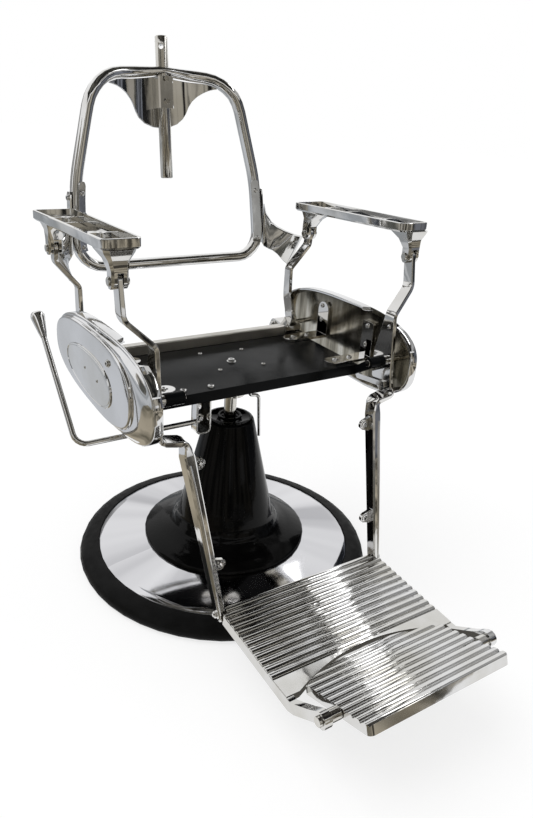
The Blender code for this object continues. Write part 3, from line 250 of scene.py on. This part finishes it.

# The clamp strips face forwards and a little inwards, square to the back's own lean
CLAMP_TURN = math.radians(25)
BACK_LEAN = Vector(joints["headrest_slide"]["axis"])
CLAMP_FACING = (-math.sin(CLAMP_TURN), -math.cos(CLAMP_TURN) * BACK_LEAN.z,
                math.cos(CLAMP_TURN) * BACK_LEAN.y)

# Bead along the front of each leg; spans are a start and a length, as shares of the leg or of half a turn
LEG_NECK = Vector((0.2135, -0.2165, 0.3950))
LEG_FOOT = Vector((0.1845, -0.3120, 0.0920))
BEAD_SPAN = (0.03, 0.92)
BEAD_ENDS = (0.04, 0.92)
BEAD_BLUNTNESS = 0.25           # the smaller it is, the blunter are the bead's ends
BEAD_OFFSET = Vector((0.0035, -0.0155, 0))  # from the leg's centre, at the neck
BEAD_CLOSER = Vector((0, 0.0040, 0))        # what is added to that down to the foot
BEAD_RADIUS = 0.0042
BEAD_THINNING = 0.0012
BEAD_FLATNESS = 0.8
BEAD_STEPS = 24
BEAD_SIDES = 12


# Objects of the scene

def mesh_object(name, bm, finish):
    """An object made out of a bmesh, which is freed."""
    mesh = bpy.data.meshes.new(name)
    bm.to_mesh(mesh)
    bm.free()
    mesh.materials.append(finish)
    made = bpy.data.objects.new(name, mesh)
    bpy.context.scene.collection.objects.link(made)
    return made


def empty_material(name):
    made = bpy.data.materials.new(name)
    made.use_nodes = True
    made.node_tree.nodes.clear()
    return made


def show_in_mirrors_only(thing):
    for ray in ("camera", "diffuse", "shadow", "transmission", "volume_scatter"):
        setattr(thing, f"visible_{ray}", False)


# Camera, floor and light

def add_camera():
    data = bpy.data.cameras.new("camera")
    data.sensor_width = SENSOR
    data.lens = FOCAL_PIXELS * SENSOR / FRAME_HEIGHT
    camera = bpy.data.objects.new("camera", data)
    level = math.cos(CAMERA_ELEVATION)
    back = Vector((math.sin(CAMERA_AZIMUTH) * level, -math.cos(CAMERA_AZIMUTH) * level,
                   math.sin(CAMERA_ELEVATION)))
    right = Vector((math.cos(CAMERA_AZIMUTH), math.sin(CAMERA_AZIMUTH), 0))
    turn = Matrix((right, back.cross(right), back)).transposed()
    turn = turn @ Matrix.Rotation(CAMERA_ROLL, 3, "Z")
    camera.matrix_world = Matrix.Translation(CAMERA_PLACE) @ turn.to_4x4()
    bpy.context.scene.collection.objects.link(camera)
    bpy.context.scene.camera = camera


def background_rays(tree):
    """1 for the rays that show the background: seen, mirrored or seen through something."""
    path = tree.nodes.new("ShaderNodeLightPath")
    total = path.outputs["Is Camera Ray"]
    for kind in ("Is Glossy Ray", "Is Transmission Ray"):
        larger = tree.nodes.new("ShaderNodeMath")
        larger.operation = "MAXIMUM"
        tree.links.new(total, larger.inputs[0])
        tree.links.new(path.outputs[kind], larger.inputs[1])
        total = larger.outputs[0]
    return total


def add_world():
    """White wherever the background shows, and a weaker even fill as light."""
    world = bpy.data.worlds.new("studio")
    bpy.context.scene.world = world
    world.use_nodes = True
    tree = world.node_tree
    tree.nodes.clear()
    mix = tree.nodes.new("ShaderNodeMixShader")
    tree.links.new(background_rays(tree), mix.inputs[0])
    for socket, strength in ((mix.inputs[1], FILL_STRENGTH), (mix.inputs[2], 1.0)):
        sky = tree.nodes.new("ShaderNodeBackground")
        sky.inputs["Color"].default_value = (*grey(1.0), 1.0)
        sky.inputs["Strength"].default_value = strength
        tree.links.new(sky.outputs[0], socket)
    out = tree.nodes.new("ShaderNodeOutputWorld")
    tree.links.new(mix.outputs[0], out.inputs[0])


def floor_material():
    made = empty_material("floor_pale")
    tree = made.node_tree
    paint = tree.nodes.new("ShaderNodeBsdfDiffuse")
    paint.inputs["Color"].default_value = (*grey(FLOOR_PAINT), 1.0)
    level = tree.nodes.new("ShaderNodeMath")
    level.operation = "MULTIPLY"
    level.inputs[1].default_value = FLOOR_GLOW
    glow = tree.nodes.new("ShaderNodeEmission")
    glow.inputs["Color"].default_value = (*grey(1.0), 1.0)
    both = tree.nodes.new("ShaderNodeAddShader")
    out = tree.nodes.new("ShaderNodeOutputMaterial")
    tree.links.new(background_rays(tree), level.inputs[0])
    tree.links.new(level.outputs[0], glow.inputs["Strength"])
    tree.links.new(paint.outputs[0], both.inputs[0])
    tree.links.new(glow.outputs[0], both.inputs[1])
    tree.links.new(both.outputs[0], out.inputs["Surface"])
    return made


def add_floor():
    bm = bmesh.new()
    bmesh.ops.create_circle(bm, cap_ends=True, segments=64, radius=FLOOR_RADIUS)
    floor = mesh_object("floor", bm, floor_material())
    floor.location.z = -FLOOR_DROP


def add_sun():
    data = bpy.data.lights.new("key", "SUN")
    data.energy = SUN_STRENGTH
    data.angle = SUN_SPREAD
    sun = bpy.data.objects.new("key", data)
    sun.rotation_euler = SUN_TURN
    sun.visible_glossy = False
    bpy.context.scene.collection.objects.link(sun)


def card_corners(x, y, z):
    """Corners of a flat card; the one measure that isn't a pair says where its plane lies."""
    if isinstance(z, float):
        return [(x[0], y[0], z), (x[1], y[0], z), (x[1], y[1], z), (x[0], y[1], z)]
    if isinstance(y, float):
        return [(x[0], y, z[0]), (x[1], y, z[0]), (x[1], y, z[1]), (x[0], y, z[1])]
    return [(x, y[0], z[0]), (x, y[1], z[0]), (x, y[1], z[1]), (x, y[0], z[1])]


def card_material(name, colours, scale, stretch):
    """A glow in streaks."""
    made = empty_material(name)
    tree = made.node_tree
    coords = tree.nodes.new("ShaderNodeTexCoord")
    mapping = tree.nodes.new("ShaderNodeMapping")
    mapping.inputs["Scale"].default_value = stretch
    streaks = tree.nodes.new("ShaderNodeTexNoise")
    streaks.inputs["Scale"].default_value = scale
    streaks.inputs["Detail"].default_value = STREAK_DETAIL
    ramp = tree.nodes.new("ShaderNodeValToRGB")
    for element, place, colour in zip(ramp.color_ramp.elements, CARD_STOPS, colours):
        element.position = place
        element.color = (*colour, 1.0)
    glow = tree.nodes.new("ShaderNodeEmission")
    out = tree.nodes.new("ShaderNodeOutputMaterial")
    tree.links.new(coords.outputs["Object"], mapping.inputs["Vector"])
    tree.links.new(mapping.outputs[0], streaks.inputs["Vector"])
    tree.links.new(streaks.outputs["Fac"], ramp.inputs["Fac"])
    tree.links.new(ramp.outputs["Color"], glow.inputs["Color"])
    tree.links.new(glow.outputs[0], out.inputs["Surface"])
    return made


def add_cards():
    """Streaky cards that only mirrors see, so that bright metal has something to show."""
    for name, extent, colours, scale, stretch in CARDS:
        bm = bmesh.new()
        bm.faces.new([bm.verts.new(corner) for corner in card_corners(*extent)])
        card = mesh_object(name, bm, card_material(name, colours, scale, stretch))
        show_in_mirrors_only(card)


def strip_material():
    made = empty_material("strip")
    tree = made.node_tree
    glow = tree.nodes.new("ShaderNodeEmission")
    glow.inputs["Strength"].default_value = STRIP_STRENGTH
    out = tree.nodes.new("ShaderNodeOutputMaterial")
    tree.links.new(glow.outputs[0], out.inputs["Surface"])
    return made


def add_strip():
    """A long arched strip light, seen only in mirrors, that draws the bright band across both treads."""
    bm = bmesh.new()
    edges = []
    for step in range(STRIP_STEPS + 1):
        turn = math.radians(STRIP_START + STRIP_SWEEP * step / STRIP_STEPS)
        pair = []
        for aside in STRIP_ASIDE:
            level = math.sqrt(1 - aside * aside)
            ray = Vector((aside, level * math.cos(turn), level * math.sin(turn)))
            pair.append(bm.verts.new(STRIP_CENTRE + STRIP_REACH * ray))
        edges.append(pair)
    for low, high in zip(edges, edges[1:]):
        bm.faces.new((low[0], low[1], high[1], high[0]))
    strip = mesh_object("strip", bm, strip_material())
    show_in_mirrors_only(strip)


# Materials

class Paint:
    """Builds one Principled material out of procedural nodes laid in the object's own coordinates."""

    def __init__(self, name, metallic, sockets):
        self.material = bpy.data.materials.new(name)
        self.material.use_nodes = True
        self.tree = self.material.node_tree
        self.shader = self.tree.nodes["Principled BSDF"]
        self.shader.inputs["Metallic"].default_value = metallic
        for socket, value in sockets.items():
            self.shader.inputs[socket].default_value = value
        source = self.tree.nodes.new("ShaderNodeTexCoord")
        self.coords = source.outputs["Object"]
        self.normal = source.outputs["Normal"]

    def feed(self, socket, value):
        self.tree.links.new(value, self.shader.inputs[socket])

    def node(self, kind, **settings):
        made = self.tree.nodes.new(kind)
        for key, value in settings.items():
            setattr(made, key, value)
        return made

    def math(self, operation, *terms):
        """A Math node over numbers and outputs of other nodes."""
        made = self.node("ShaderNodeMath", operation=operation)
        for socket, term in zip(made.inputs, terms):
            if isinstance(term, (int, float)):
                socket.default_value = term
            else:
                self.tree.links.new(term, socket)
        return made.outputs[0]

    def parts(self, vector):
        made = self.node("ShaderNodeSeparateXYZ")
        self.tree.links.new(vector, made.inputs[0])
        return made.outputs

    def noise(self, scale, detail, stretch=(1, 1, 1)):
        mapping = self.node("ShaderNodeMapping")
        mapping.inputs["Scale"].default_value = stretch
        self.tree.links.new(self.coords, mapping.inputs["Vector"])
        made = self.node("ShaderNodeTexNoise")
        made.inputs["Scale"].default_value = scale
        made.inputs["Detail"].default_value = detail
        self.tree.links.new(mapping.outputs[0], made.inputs["Vector"])
        return made.outputs["Fac"]

    def ramp(self, value, stops):
        """Colour read off a value; stops are (place, colour)."""
        made = self.node("ShaderNodeValToRGB")
        elements = made.color_ramp.elements
        while len(elements) < len(stops):
            elements.new(0.5)
        for element, (place, colour) in zip(elements, stops):
            element.position = place
            element.color = (*colour, 1.0)
        self.tree.links.new(value, made.inputs["Fac"])
        return made.outputs["Color"]

    def blend(self, share, first, second):
        made = self.node("ShaderNodeMix", data_type="RGBA")
        self.tree.links.new(share, made.inputs["Factor"])
        self.tree.links.new(first, made.inputs["A"])
        self.tree.links.new(second, made.inputs["B"])
        return made.outputs["Result"]

    def times(self, first, second):
        made = self.node("ShaderNodeMix", data_type="RGBA", blend_type="MULTIPLY")
        made.inputs["Factor"].default_value = 1.0
        self.tree.links.new(first, made.inputs["A"])
        self.tree.links.new(second, made.inputs["B"])
        return made.outputs["Result"]

    def level(self, value, low, high):
        """A noise's middle range spread between two levels."""
        made = self.node("ShaderNodeMapRange")
        made.inputs["From Min"].default_value = NOISE_RANGE[0]
        made.inputs["From Max"].default_value = NOISE_RANGE[1]
        made.inputs["To Min"].default_value = low
        made.inputs["To Max"].default_value = high
        self.tree.links.new(value, made.inputs["Value"])
        return made.outputs["Result"]

    def bumps(self, layers):
        """Each layer is (noise, depth in metres)."""
        normal = None
        for noise, depth in layers:
            made = self.node("ShaderNodeBump")
            made.inputs["Strength"].default_value = 1.0
            made.inputs["Distance"].default_value = depth
            self.tree.links.new(self.noise(*noise), made.inputs["Height"])
            if normal is not None:
                self.tree.links.new(normal, made.inputs["Normal"])
            normal = made.outputs["Normal"]
        self.feed("Normal", normal)


def plain_finish(name, metallic, colour, roughness, layers, sockets):
    """A material whose colour, roughness and bumps each follow a noise."""
    paint = Paint(name, metallic, sockets)
    noise, stops = colour
    paint.feed("Base Color", paint.ramp(paint.noise(*noise), stops))
    noise, low, high = roughness
    paint.feed("Roughness", paint.level(paint.noise(*noise), low, high))
    paint.bumps(layers)
    return paint.material


def cover_chrome():
    """Chrome of the dished side covers; inside their hollow it is duller, with painted reflections in streaks and
    painted shade that darkens it towards the top.
    """
    paint = Paint("cover_chrome", 1.0, {})
    outside = paint.ramp(paint.noise(*SMUDGES), ((0.35, grey(0.66)), (0.62, (0.76, 0.76, 0.77))))
    # Painted reflections: warm and dark streaks in the hollow stand in for what it mirrors.
    hollow_painted_reflections = paint.ramp(paint.noise(11.0, 4.0, (1, 3.0, 0.35)),
                        ((0.36, (0.12, 0.11, 0.085)), (0.50, (0.42, 0.39, 0.32)),
                         (0.64, (0.74, 0.71, 0.63))))
    place = paint.parts(paint.coords)
    # Painted shade: the hollow's colour darkens towards its top.
    height = paint.math("MULTIPLY", paint.math("SUBTRACT", place[2], HOLLOW_SHADE_FROM), HOLLOW_SHADE_RISE)
    hollow_painted_light = paint.times(hollow_painted_reflections, paint.ramp(height, ((0.0, grey(1.0)), (1.0, (0.16, 0.155, 0.14)))))
    facing = paint.parts(paint.normal)
    side = paint.math("SIGN", place[0])
    across = paint.math("SUBTRACT", paint.math("ABSOLUTE", place[0]), COVER_MIDDLE[0])
    outward = paint.math("MULTIPLY", paint.math("MULTIPLY", facing[0], side), across)
    along = paint.math("MULTIPLY", facing[1], paint.math("SUBTRACT", place[1], COVER_MIDDLE[1]))
    above = paint.math("MULTIPLY", facing[2], paint.math("SUBTRACT", place[2], COVER_MIDDLE[2]))
    away = paint.math("ADD", paint.math("ADD", outward, along), above)
    hollow = paint.math("LESS_THAN", away, 0.0)
    # The hollow takes the painted reflections and painted shade, and the outside keeps plain chrome.
    paint.feed("Base Color", paint.blend(hollow, outside, hollow_painted_light))
    smooth = paint.level(paint.noise(*WIPES), 0.04, 0.10)
    paint.feed("Roughness", paint.math("ADD", smooth, paint.math("MULTIPLY", hollow, HOLLOW_DULL)))
    paint.bumps(((WAVES, 0.0004), (GRAIN, GRAIN_DEPTH)))
    return paint.material


def plate_chrome_painted_wedges():
    """Chrome of the base plate, with painted reflections: darker and lighter wedges round its centre."""
    paint = Paint("plate_chrome_painted_wedges", 1.0, {})
    place = paint.parts(paint.coords)
    # Painted reflection: the colour follows the angle round the plate's centre.
    turn = paint.math("ARCTAN2", place[1], place[0])
    reflection_wedges = paint.node("ShaderNodeTexNoise", noise_dimensions="1D")
    reflection_wedges.inputs["Scale"].default_value = 1.7
    reflection_wedges.inputs["Detail"].default_value = 2.0
    paint.tree.links.new(turn, reflection_wedges.inputs["W"])
    stops = ((0.34, (0.44, 0.44, 0.46)), (0.47, (0.62, 0.62, 0.64)), (0.66, (0.72, 0.72, 0.74)))
    paint.feed("Base Color", paint.ramp(reflection_wedges.outputs["Fac"], stops))
    paint.feed("Roughness", paint.level(paint.noise(20.0, 4.0), 0.05, 0.10))
    paint.bumps((((9.0, 2.0), 0.0003),))
    return paint.material


def bracket_chrome():
    """Chrome of the pump bracket, whose web between the two flanges is painted dark as painted shade."""
    paint = Paint("bracket_chrome", 1.0, {})
    bright = paint.ramp(paint.noise(*SMUDGES), ((0.35, (0.66, 0.65, 0.63)), (0.62, grey(0.78))))
    # Painted shade: the web between the flanges is coloured near black.
    black = paint.ramp(paint.noise(60.0, 4.0), ((0.35, grey(0.012)), (0.65, (0.05, 0.05, 0.048))))
    web = paint.math("GREATER_THAN", paint.parts(paint.coords)[1], PUMP_SHADE_EDGE)
    paint.feed("Base Color", paint.blend(web, bright, black))
    paint.feed("Roughness", paint.level(paint.noise(*WIPES), 0.05, 0.12))
    paint.bumps(((WAVES, 0.0003),))
    return paint.material


def make_materials():
    made = {name: plain_finish(name, *looks) for name, looks in PLAIN_FINISHES.items()}
    made["cover_chrome"] = cover_chrome()
    made["plate_chrome_painted_wedges"] = plate_chrome_painted_wedges()
    made["bracket_chrome"] = bracket_chrome()
    return made


# CAD nodes

def smooth_facets():
    """Nodes that join a mesh's split corners and shade it as one surface up to its real edges."""
    group = bpy.data.node_groups.new("smooth_facets", "GeometryNodeTree")
    group.interface.new_socket("Geometry", in_out="INPUT", socket_type="NodeSocketGeometry")
    group.interface.new_socket("Angle", in_out="INPUT", socket_type="NodeSocketFloat")
    group.interface.new_socket("Geometry", in_out="OUTPUT", socket_type="NodeSocketGeometry")
    enter = group.nodes.new("NodeGroupInput")
    forget = group.nodes.new("GeometryNodeRemoveAttribute")
    forget.inputs["Name"].default_value = "custom_normal"
    join = group.nodes.new("GeometryNodeMergeByDistance")
    join.inputs["Distance"].default_value = WELD
    faces = group.nodes.new("GeometryNodeSetShadeSmooth")
    faces.domain = "FACE"
    edges = group.nodes.new("GeometryNodeSetShadeSmooth")
    edges.domain = "EDGE"
    angle = group.nodes.new("GeometryNodeInputMeshEdgeAngle")
    soft = group.nodes.new("ShaderNodeMath")
    soft.operation = "LESS_THAN"
    leave = group.nodes.new("NodeGroupOutput")
    group.links.new(enter.outputs[0], forget.inputs["Geometry"])
    for before, after in ((forget, join), (join, faces), (faces, edges)):
        group.links.new(before.outputs["Geometry"], after.inputs["Geometry"])
    group.links.new(angle.outputs["Unsigned Angle"], soft.inputs[0])
    group.links.new(enter.outputs[1], soft.inputs[1])
    group.links.new(soft.outputs[0], edges.inputs["Shade Smooth"])
    group.links.new(edges.outputs["Geometry"], leave.inputs[0])
    return group


def edge_width(name):
    """How wide a node's edges are rounded: cast pieces more than cut sheet."""
    for start, width in EDGE_WIDTHS:
        if name.startswith(start):
            return width
    return EDGE_WIDTH


def dress_nodes(made):
    """Give every CAD node its finish, an even surface and rounded edges."""
    smoothing = smooth_facets()
    angle = smoothing.interface.items_tree["Angle"].identifier
    for row in frame["record"]["subparts"]:
        name = row["node"]
        node = nodes[name]
        limit = ROUND_ANGLE if name in ROUND_NODES else SHARP_ANGLE
        node.data.materials.clear()
        node.data.materials.append(made[OWN_FINISHES.get(name, row["material_slot"])])
        even = node.modifiers.new("even", "NODES")
        even.node_group = smoothing
        even[angle] = limit
        bevel = node.modifiers.new("edges", "BEVEL")
        bevel.width = edge_width(name)
        bevel.segments = EDGE_SEGMENTS
        bevel.limit_method = "ANGLE"
        bevel.angle_limit = limit
        bevel.harden_normals = True


# Fittings and small pieces

def piece(name, bm, body, finish):
    """An object that rides a body of the frame, in the given finish."""
    bmesh.ops.recalc_face_normals(bm, faces=bm.faces)
    thing = mesh_object(name, bm, finish)
    thing.data.shade_smooth()
    thing.data.set_sharp_from_angle(angle=SHARP_ANGLE)
    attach(thing, body)
    return thing


def outline_reach(outline, size, turn):
    """Distance from the axis to an outline at an angle."""
    if outline == "hex":
        return size / math.cos((turn + math.pi / 6) % (math.pi / 3) - math.pi / 6)
    if outline == "cross":
        folded = abs((turn + math.pi / 4) % (math.pi / 2) - math.pi / 4)
        return min(size / math.cos(folded), CROSS_ARM * size / max(math.sin(folded), 0.001))
    return size


def join_rings(bm, rings, loop):
    """Adds the surface through equal rings, closed by two ends or, as a loop, in itself."""
    if loop:
        rings = rings + rings[:1]
    else:
        bm.faces.new(rings[0])
        bm.faces.new(rings[-1])
    count = len(rings[0])
    for low, high in zip(rings, rings[1:]):
        for step in range(count):
            after = (step + 1) % count
            bm.faces.new((low[step], low[after], high[after], high[step]))


def turned(bm, place, axis, rings, radius, loop):
    """Adds one fitting, which stands on a place and points along an axis."""
    turn = Vector(UP).rotation_difference(Vector(axis)).to_matrix()
    stacked = []
    for outline, size, height in rings:
        ring = []
        for step in range(FITTING_STEPS):
            angle = 2 * math.pi * step / FITTING_STEPS
            reach = radius * outline_reach(outline, size, angle)
            point = Vector((reach * math.cos(angle), reach * math.sin(angle), radius * height))
            ring.append(bm.verts.new(Vector(place) + turn @ point))
        stacked.append(ring)
    join_rings(bm, stacked, loop)


def swept(bm, sections):
    """Adds a closed solid through outlines that have the same number of points."""
    join_rings(bm, [[bm.verts.new(point) for point in section] for section in sections], False)


def fittings(name, body, made, rings, radius, axis, places, slot="chrome", loop=False):
    """One piece out of equal fittings; all of them face the same way."""
    bm = bmesh.new()
    for place in places:
        turned(bm, place, axis, rings, radius, loop)
    piece(name, bm, body, made[slot])


def paired(name, body, made, rings, radius, axis, places, slot="chrome", loop=False):
    """The fittings of the right side and their mirror image on the left."""
    for side, sign in SIDES:
        fittings(f"{name}_{side}", body, made, rings, radius, (sign * axis[0], axis[1], axis[2]),
                 [(sign * x, y, z) for x, y, z in places], slot, loop)


def oval(x, centre, half, power):
    """A ring of an oval in a plane across X, tapering towards the rear and dropping towards the front."""
    ring = []
    for step in range(COVER_STEPS):
        turn = 2 * math.pi * step / COVER_STEPS
        u = math.copysign(abs(math.cos(turn)) ** (2 / power), math.cos(turn))
        v = math.copysign(abs(math.sin(turn)) ** (2 / power), math.sin(turn))
        y = centre[0] + half[0] * u
        drop = COVER_SLOPE * (COVER_REAR - y)
        ring.append(Vector((x, y, centre[1] + half[1] * (1 + COVER_TAPER * u) * v - drop)))
    return ring


def crowned(edge, rise):
    """Rings from an edge to the middle of the face inside it, which stands a little proud."""
    middle = sum(edge, Vector()) / len(edge)
    rings = []
    for share in CROWN_SHARES:
        ring = [middle.lerp(point, share) for point in edge]
        for point in ring:
            point.x += rise * (1 - share * share)
        rings.append(ring)
    return rings


def rim_ring(x, inset):
    return oval(x, COVER_CENTRE, (COVER_HALF[0] - inset, COVER_HALF[1] - inset), COVER_POWER)


def raised_ring(x, inset):
    return oval(x, RAISED_CENTRE, (RAISED_HALF[0] - inset, RAISED_HALF[1] - inset), COVER_POWER)


def hollow_rings():
    """The hollow of a cover from its floor to the inner edge of the rim, with the notch cut into the rim."""
    rings = [rim_ring(x, inset) for x, inset in HOLLOW_PROFILE]
    front, rear, low = COVER_NOTCH
    for ring in rings:
        for point in ring:
            if front < point.y < rear and point.z > low:
                point.x = max(point.x, NOTCH_X)
    return rings


def cover_rings():
    """The dished cover from the floor of its hollow, round its rim and over the raised oval outside."""
    rings = hollow_rings()
    quarter = [math.radians(15 * step) for step in range(7)]
    inner = raised_ring(BORDER_X, 0.0)
    widths = [(a - b).length for a, b in zip(rim_ring(BORDER_X, 0.0), inner)]
    for turn in quarter:
        ring = rim_ring(RIM_X + RIM_RADIUS * math.sin(turn), RIM_RADIUS * (1 - math.cos(turn)))
        for point, width in zip(ring, widths):
            point.x -= COVER_FALL * width
        rings.append(ring)
    outer = rings[-1]
    for share in BORDER_SHARES:
        swell = COVER_SWELL * math.sin(math.pi * share)
        rings.append([a.lerp(b, share) + Vector((swell * width, 0, 0))
                      for a, b, width in zip(outer, inner, widths)])
    rings.append(inner)
    for turn in quarter:
        rings.append(raised_ring(RAISED_X + RAISED_RADIUS * math.sin(turn),
                                 RAISED_INSET + RAISED_RADIUS * (1 - math.cos(turn))))
    return rings + crowned(rings[-1], RAISED_CROWN)


def inlay_rings():
    """The oval plate set on a cover: a raised border, a groove inside it and a slightly proud face."""
    rings = [oval(x, INLAY_CENTRE, (INLAY_HALF[0] - inset, INLAY_HALF[1] - inset), INLAY_POWER)
             for x, inset in INLAY_PROFILE]
    return rings + crowned(rings[-1], INLAY_CROWN)


def add_covers(made):
    """Both side covers and their inlays, with a finer surface than the solids they stand for."""
    for side, sign in SIDES:
        for name, rings, node, finish in (("cover_shell", cover_rings(), "side_cover", "cover_chrome"),
                                          ("inlay_shell", inlay_rings(), "cover_inlay", "cast_chrome")):
            bm = bmesh.new()
            swept(bm, [[(sign * point.x, point.y, point.z) for point in ring] for ring in rings])
            shell = piece(f"{name}_{side}", bm, "seat", made[finish])
            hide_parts(f"{node}_{side}")


def add_plate_fittings(made):
    """Screws and bolts on top of the seat plate."""
    fittings("plate_screws", "seat", made, PAN_HEAD, radius=0.0047, axis=UP,
             places=((-0.0425, 0.0649, PLATE_TOP), (0.0544, 0.0550, PLATE_TOP), (-0.0480, -0.0343, PLATE_TOP),
                     (0.0520, -0.0398, PLATE_TOP)))
    fittings("plate_bolts", "seat", made, PAN_HEAD, radius=0.0070, axis=UP,
             places=((-0.1065, -0.1028, PLATE_TOP), (-0.1642, -0.1006, PLATE_TOP)))
    fittings("plate_centre_bolt", "seat", made, SOCKET_HEAD, radius=0.0072, axis=UP,
             places=((-0.0017, 0.0015, PLATE_TOP),))


def add_cover_fittings(made):
    """Screws of the cover brackets, what sits on the pivots, and the screws and bolt outside each cover."""
    paired("tab_screws", "seat", made, PAN_HEAD, radius=0.0058, axis=UP,
           places=((0.2008, -0.0913, BRACKET_TAB), (0.2410, -0.0900, BRACKET_TAB),
                   (0.2020, 0.0700, BRACKET_TAB), (0.2410, 0.0700, BRACKET_TAB)))
    paired("bracket_screws", "seat", made, PAN_HEAD, radius=0.0054, axis=INWARDS,
           places=((BRACKET_LEG, -0.0900, 0.5373), (BRACKET_LEG, -0.0905, 0.4961),
                   (BRACKET_LEG, 0.0745, 0.5369), (BRACKET_LEG, 0.0735, 0.5032)))
    paired("rear_pivot_nuts", "seat", made, NUT, radius=0.0078, axis=INWARDS,
           places=((LUG_FACE, *joints["recline"]["pos_m"][1:]),))
    paired("front_pivot_sleeves", "seat", made, SLEEVE, radius=0.0098, axis=OUTWARDS,
           places=((SLEEVE_FACE, *joints["legrest_swing"]["pos_m"][1:]),), loop=True)
    paired("inlay_screws", "seat", made, PAN_HEAD, radius=0.0034, axis=OUTWARDS,
           places=((INLAY_FACE, 0.0238, 0.4903), (INLAY_FACE, -0.0394, 0.4858)), slot="steel")
    paired("cover_bolts", "seat", made, SOCKET_HEAD, radius=0.0056, axis=OUTWARDS,
           places=((COVER_FACE, -0.0885, 0.5375),), slot="steel")


def add_pump_fittings(made):
    fittings("pump_bracket_bolts", "seat", made, NUT, radius=0.0060, axis=FORWARDS,
             places=((-0.1316, PUMP_WEB_Y, 0.4270), (-0.1265, PUMP_WEB_Y, 0.4007)))


def add_back_fittings(made):
    paired("strip_screws", "back", made, PAN_HEAD, radius=0.0050, axis=CLAMP_FACING,
           places=((0.2112, 0.2849, 0.7674), (0.2165, 0.2718, 0.6582)))
    paired("outer_plate_bolts", "back", made, SOCKET_HEAD, radius=0.0055, axis=OUTWARDS,
           places=((0.2363, 0.3008, 0.7570), (0.2416, 0.2895, 0.6627)))
    paired("post_rivets", "back", made, DOME, radius=0.0052, axis=INWARDS,
           places=((0.2555, 0.1790, 0.5275),))


def bead_section(step, sign):
    """Outline of a leg's bead at one of its steps."""
    along = step / BEAD_STEPS
    share = BEAD_SPAN[0] + BEAD_SPAN[1] * along
    ends = math.sin(math.pi * (BEAD_ENDS[0] + BEAD_ENDS[1] * along)) ** BEAD_BLUNTNESS
    centre = LEG_NECK.lerp(LEG_FOOT, share) + BEAD_OFFSET + share * BEAD_CLOSER
    radius = (BEAD_RADIUS - BEAD_THINNING * share) * ends
    section = []
    for side in range(BEAD_SIDES):
        turn = 2 * math.pi * side / BEAD_SIDES
        section.append(Vector((sign * (centre.x + radius * math.cos(turn)),
                               centre.y + BEAD_FLATNESS * radius * math.sin(turn), centre.z)))
    return section


def add_leg_fittings(made):
    paired("lever_rivets", "legrest", made, DOME, radius=0.0046, axis=INWARDS,
           places=((0.2555, -0.1848, 0.5675),))
    paired("leg_bolts", "legrest", made, NUT, radius=0.0068, axis=OUTWARDS,
           places=((0.1920, -0.3085, 0.1040),))
    paired("lug_eyelets", "legrest", made, EYELET, radius=0.0086, axis=FORWARDS,
           places=((0.1907, -0.2225, 0.3760), (0.1729, -0.2811, 0.1900)), loop=True)
    for side, sign in SIDES:
        bm = bmesh.new()
        swept(bm, [bead_section(step, sign) for step in range(BEAD_STEPS + 1)])
        piece(f"leg_bead_{side}", bm, "legrest", made["chrome"])


def add_column_collar(made):
    """Wiper ring on top of the skirt, round the rod."""
    fittings("column_collar", "base", made, COLLAR, radius=0.0262, axis=UP,
             places=((0, 0, SKIRT_TOP),), slot="gloss_black", loop=True)


add_camera()
add_world()
add_floor()
add_sun()
add_cards()
add_strip()
finishes = make_materials()
dress_nodes(finishes)
add_covers(finishes)
add_plate_fittings(finishes)
add_cover_fittings(finishes)
add_pump_fittings(finishes)
add_back_fittings(finishes)
add_leg_fittings(finishes)
add_column_collar(finishes)

bpy.context.scene.view_settings.view_transform = "Standard"
bpy.context.view_layer.update()
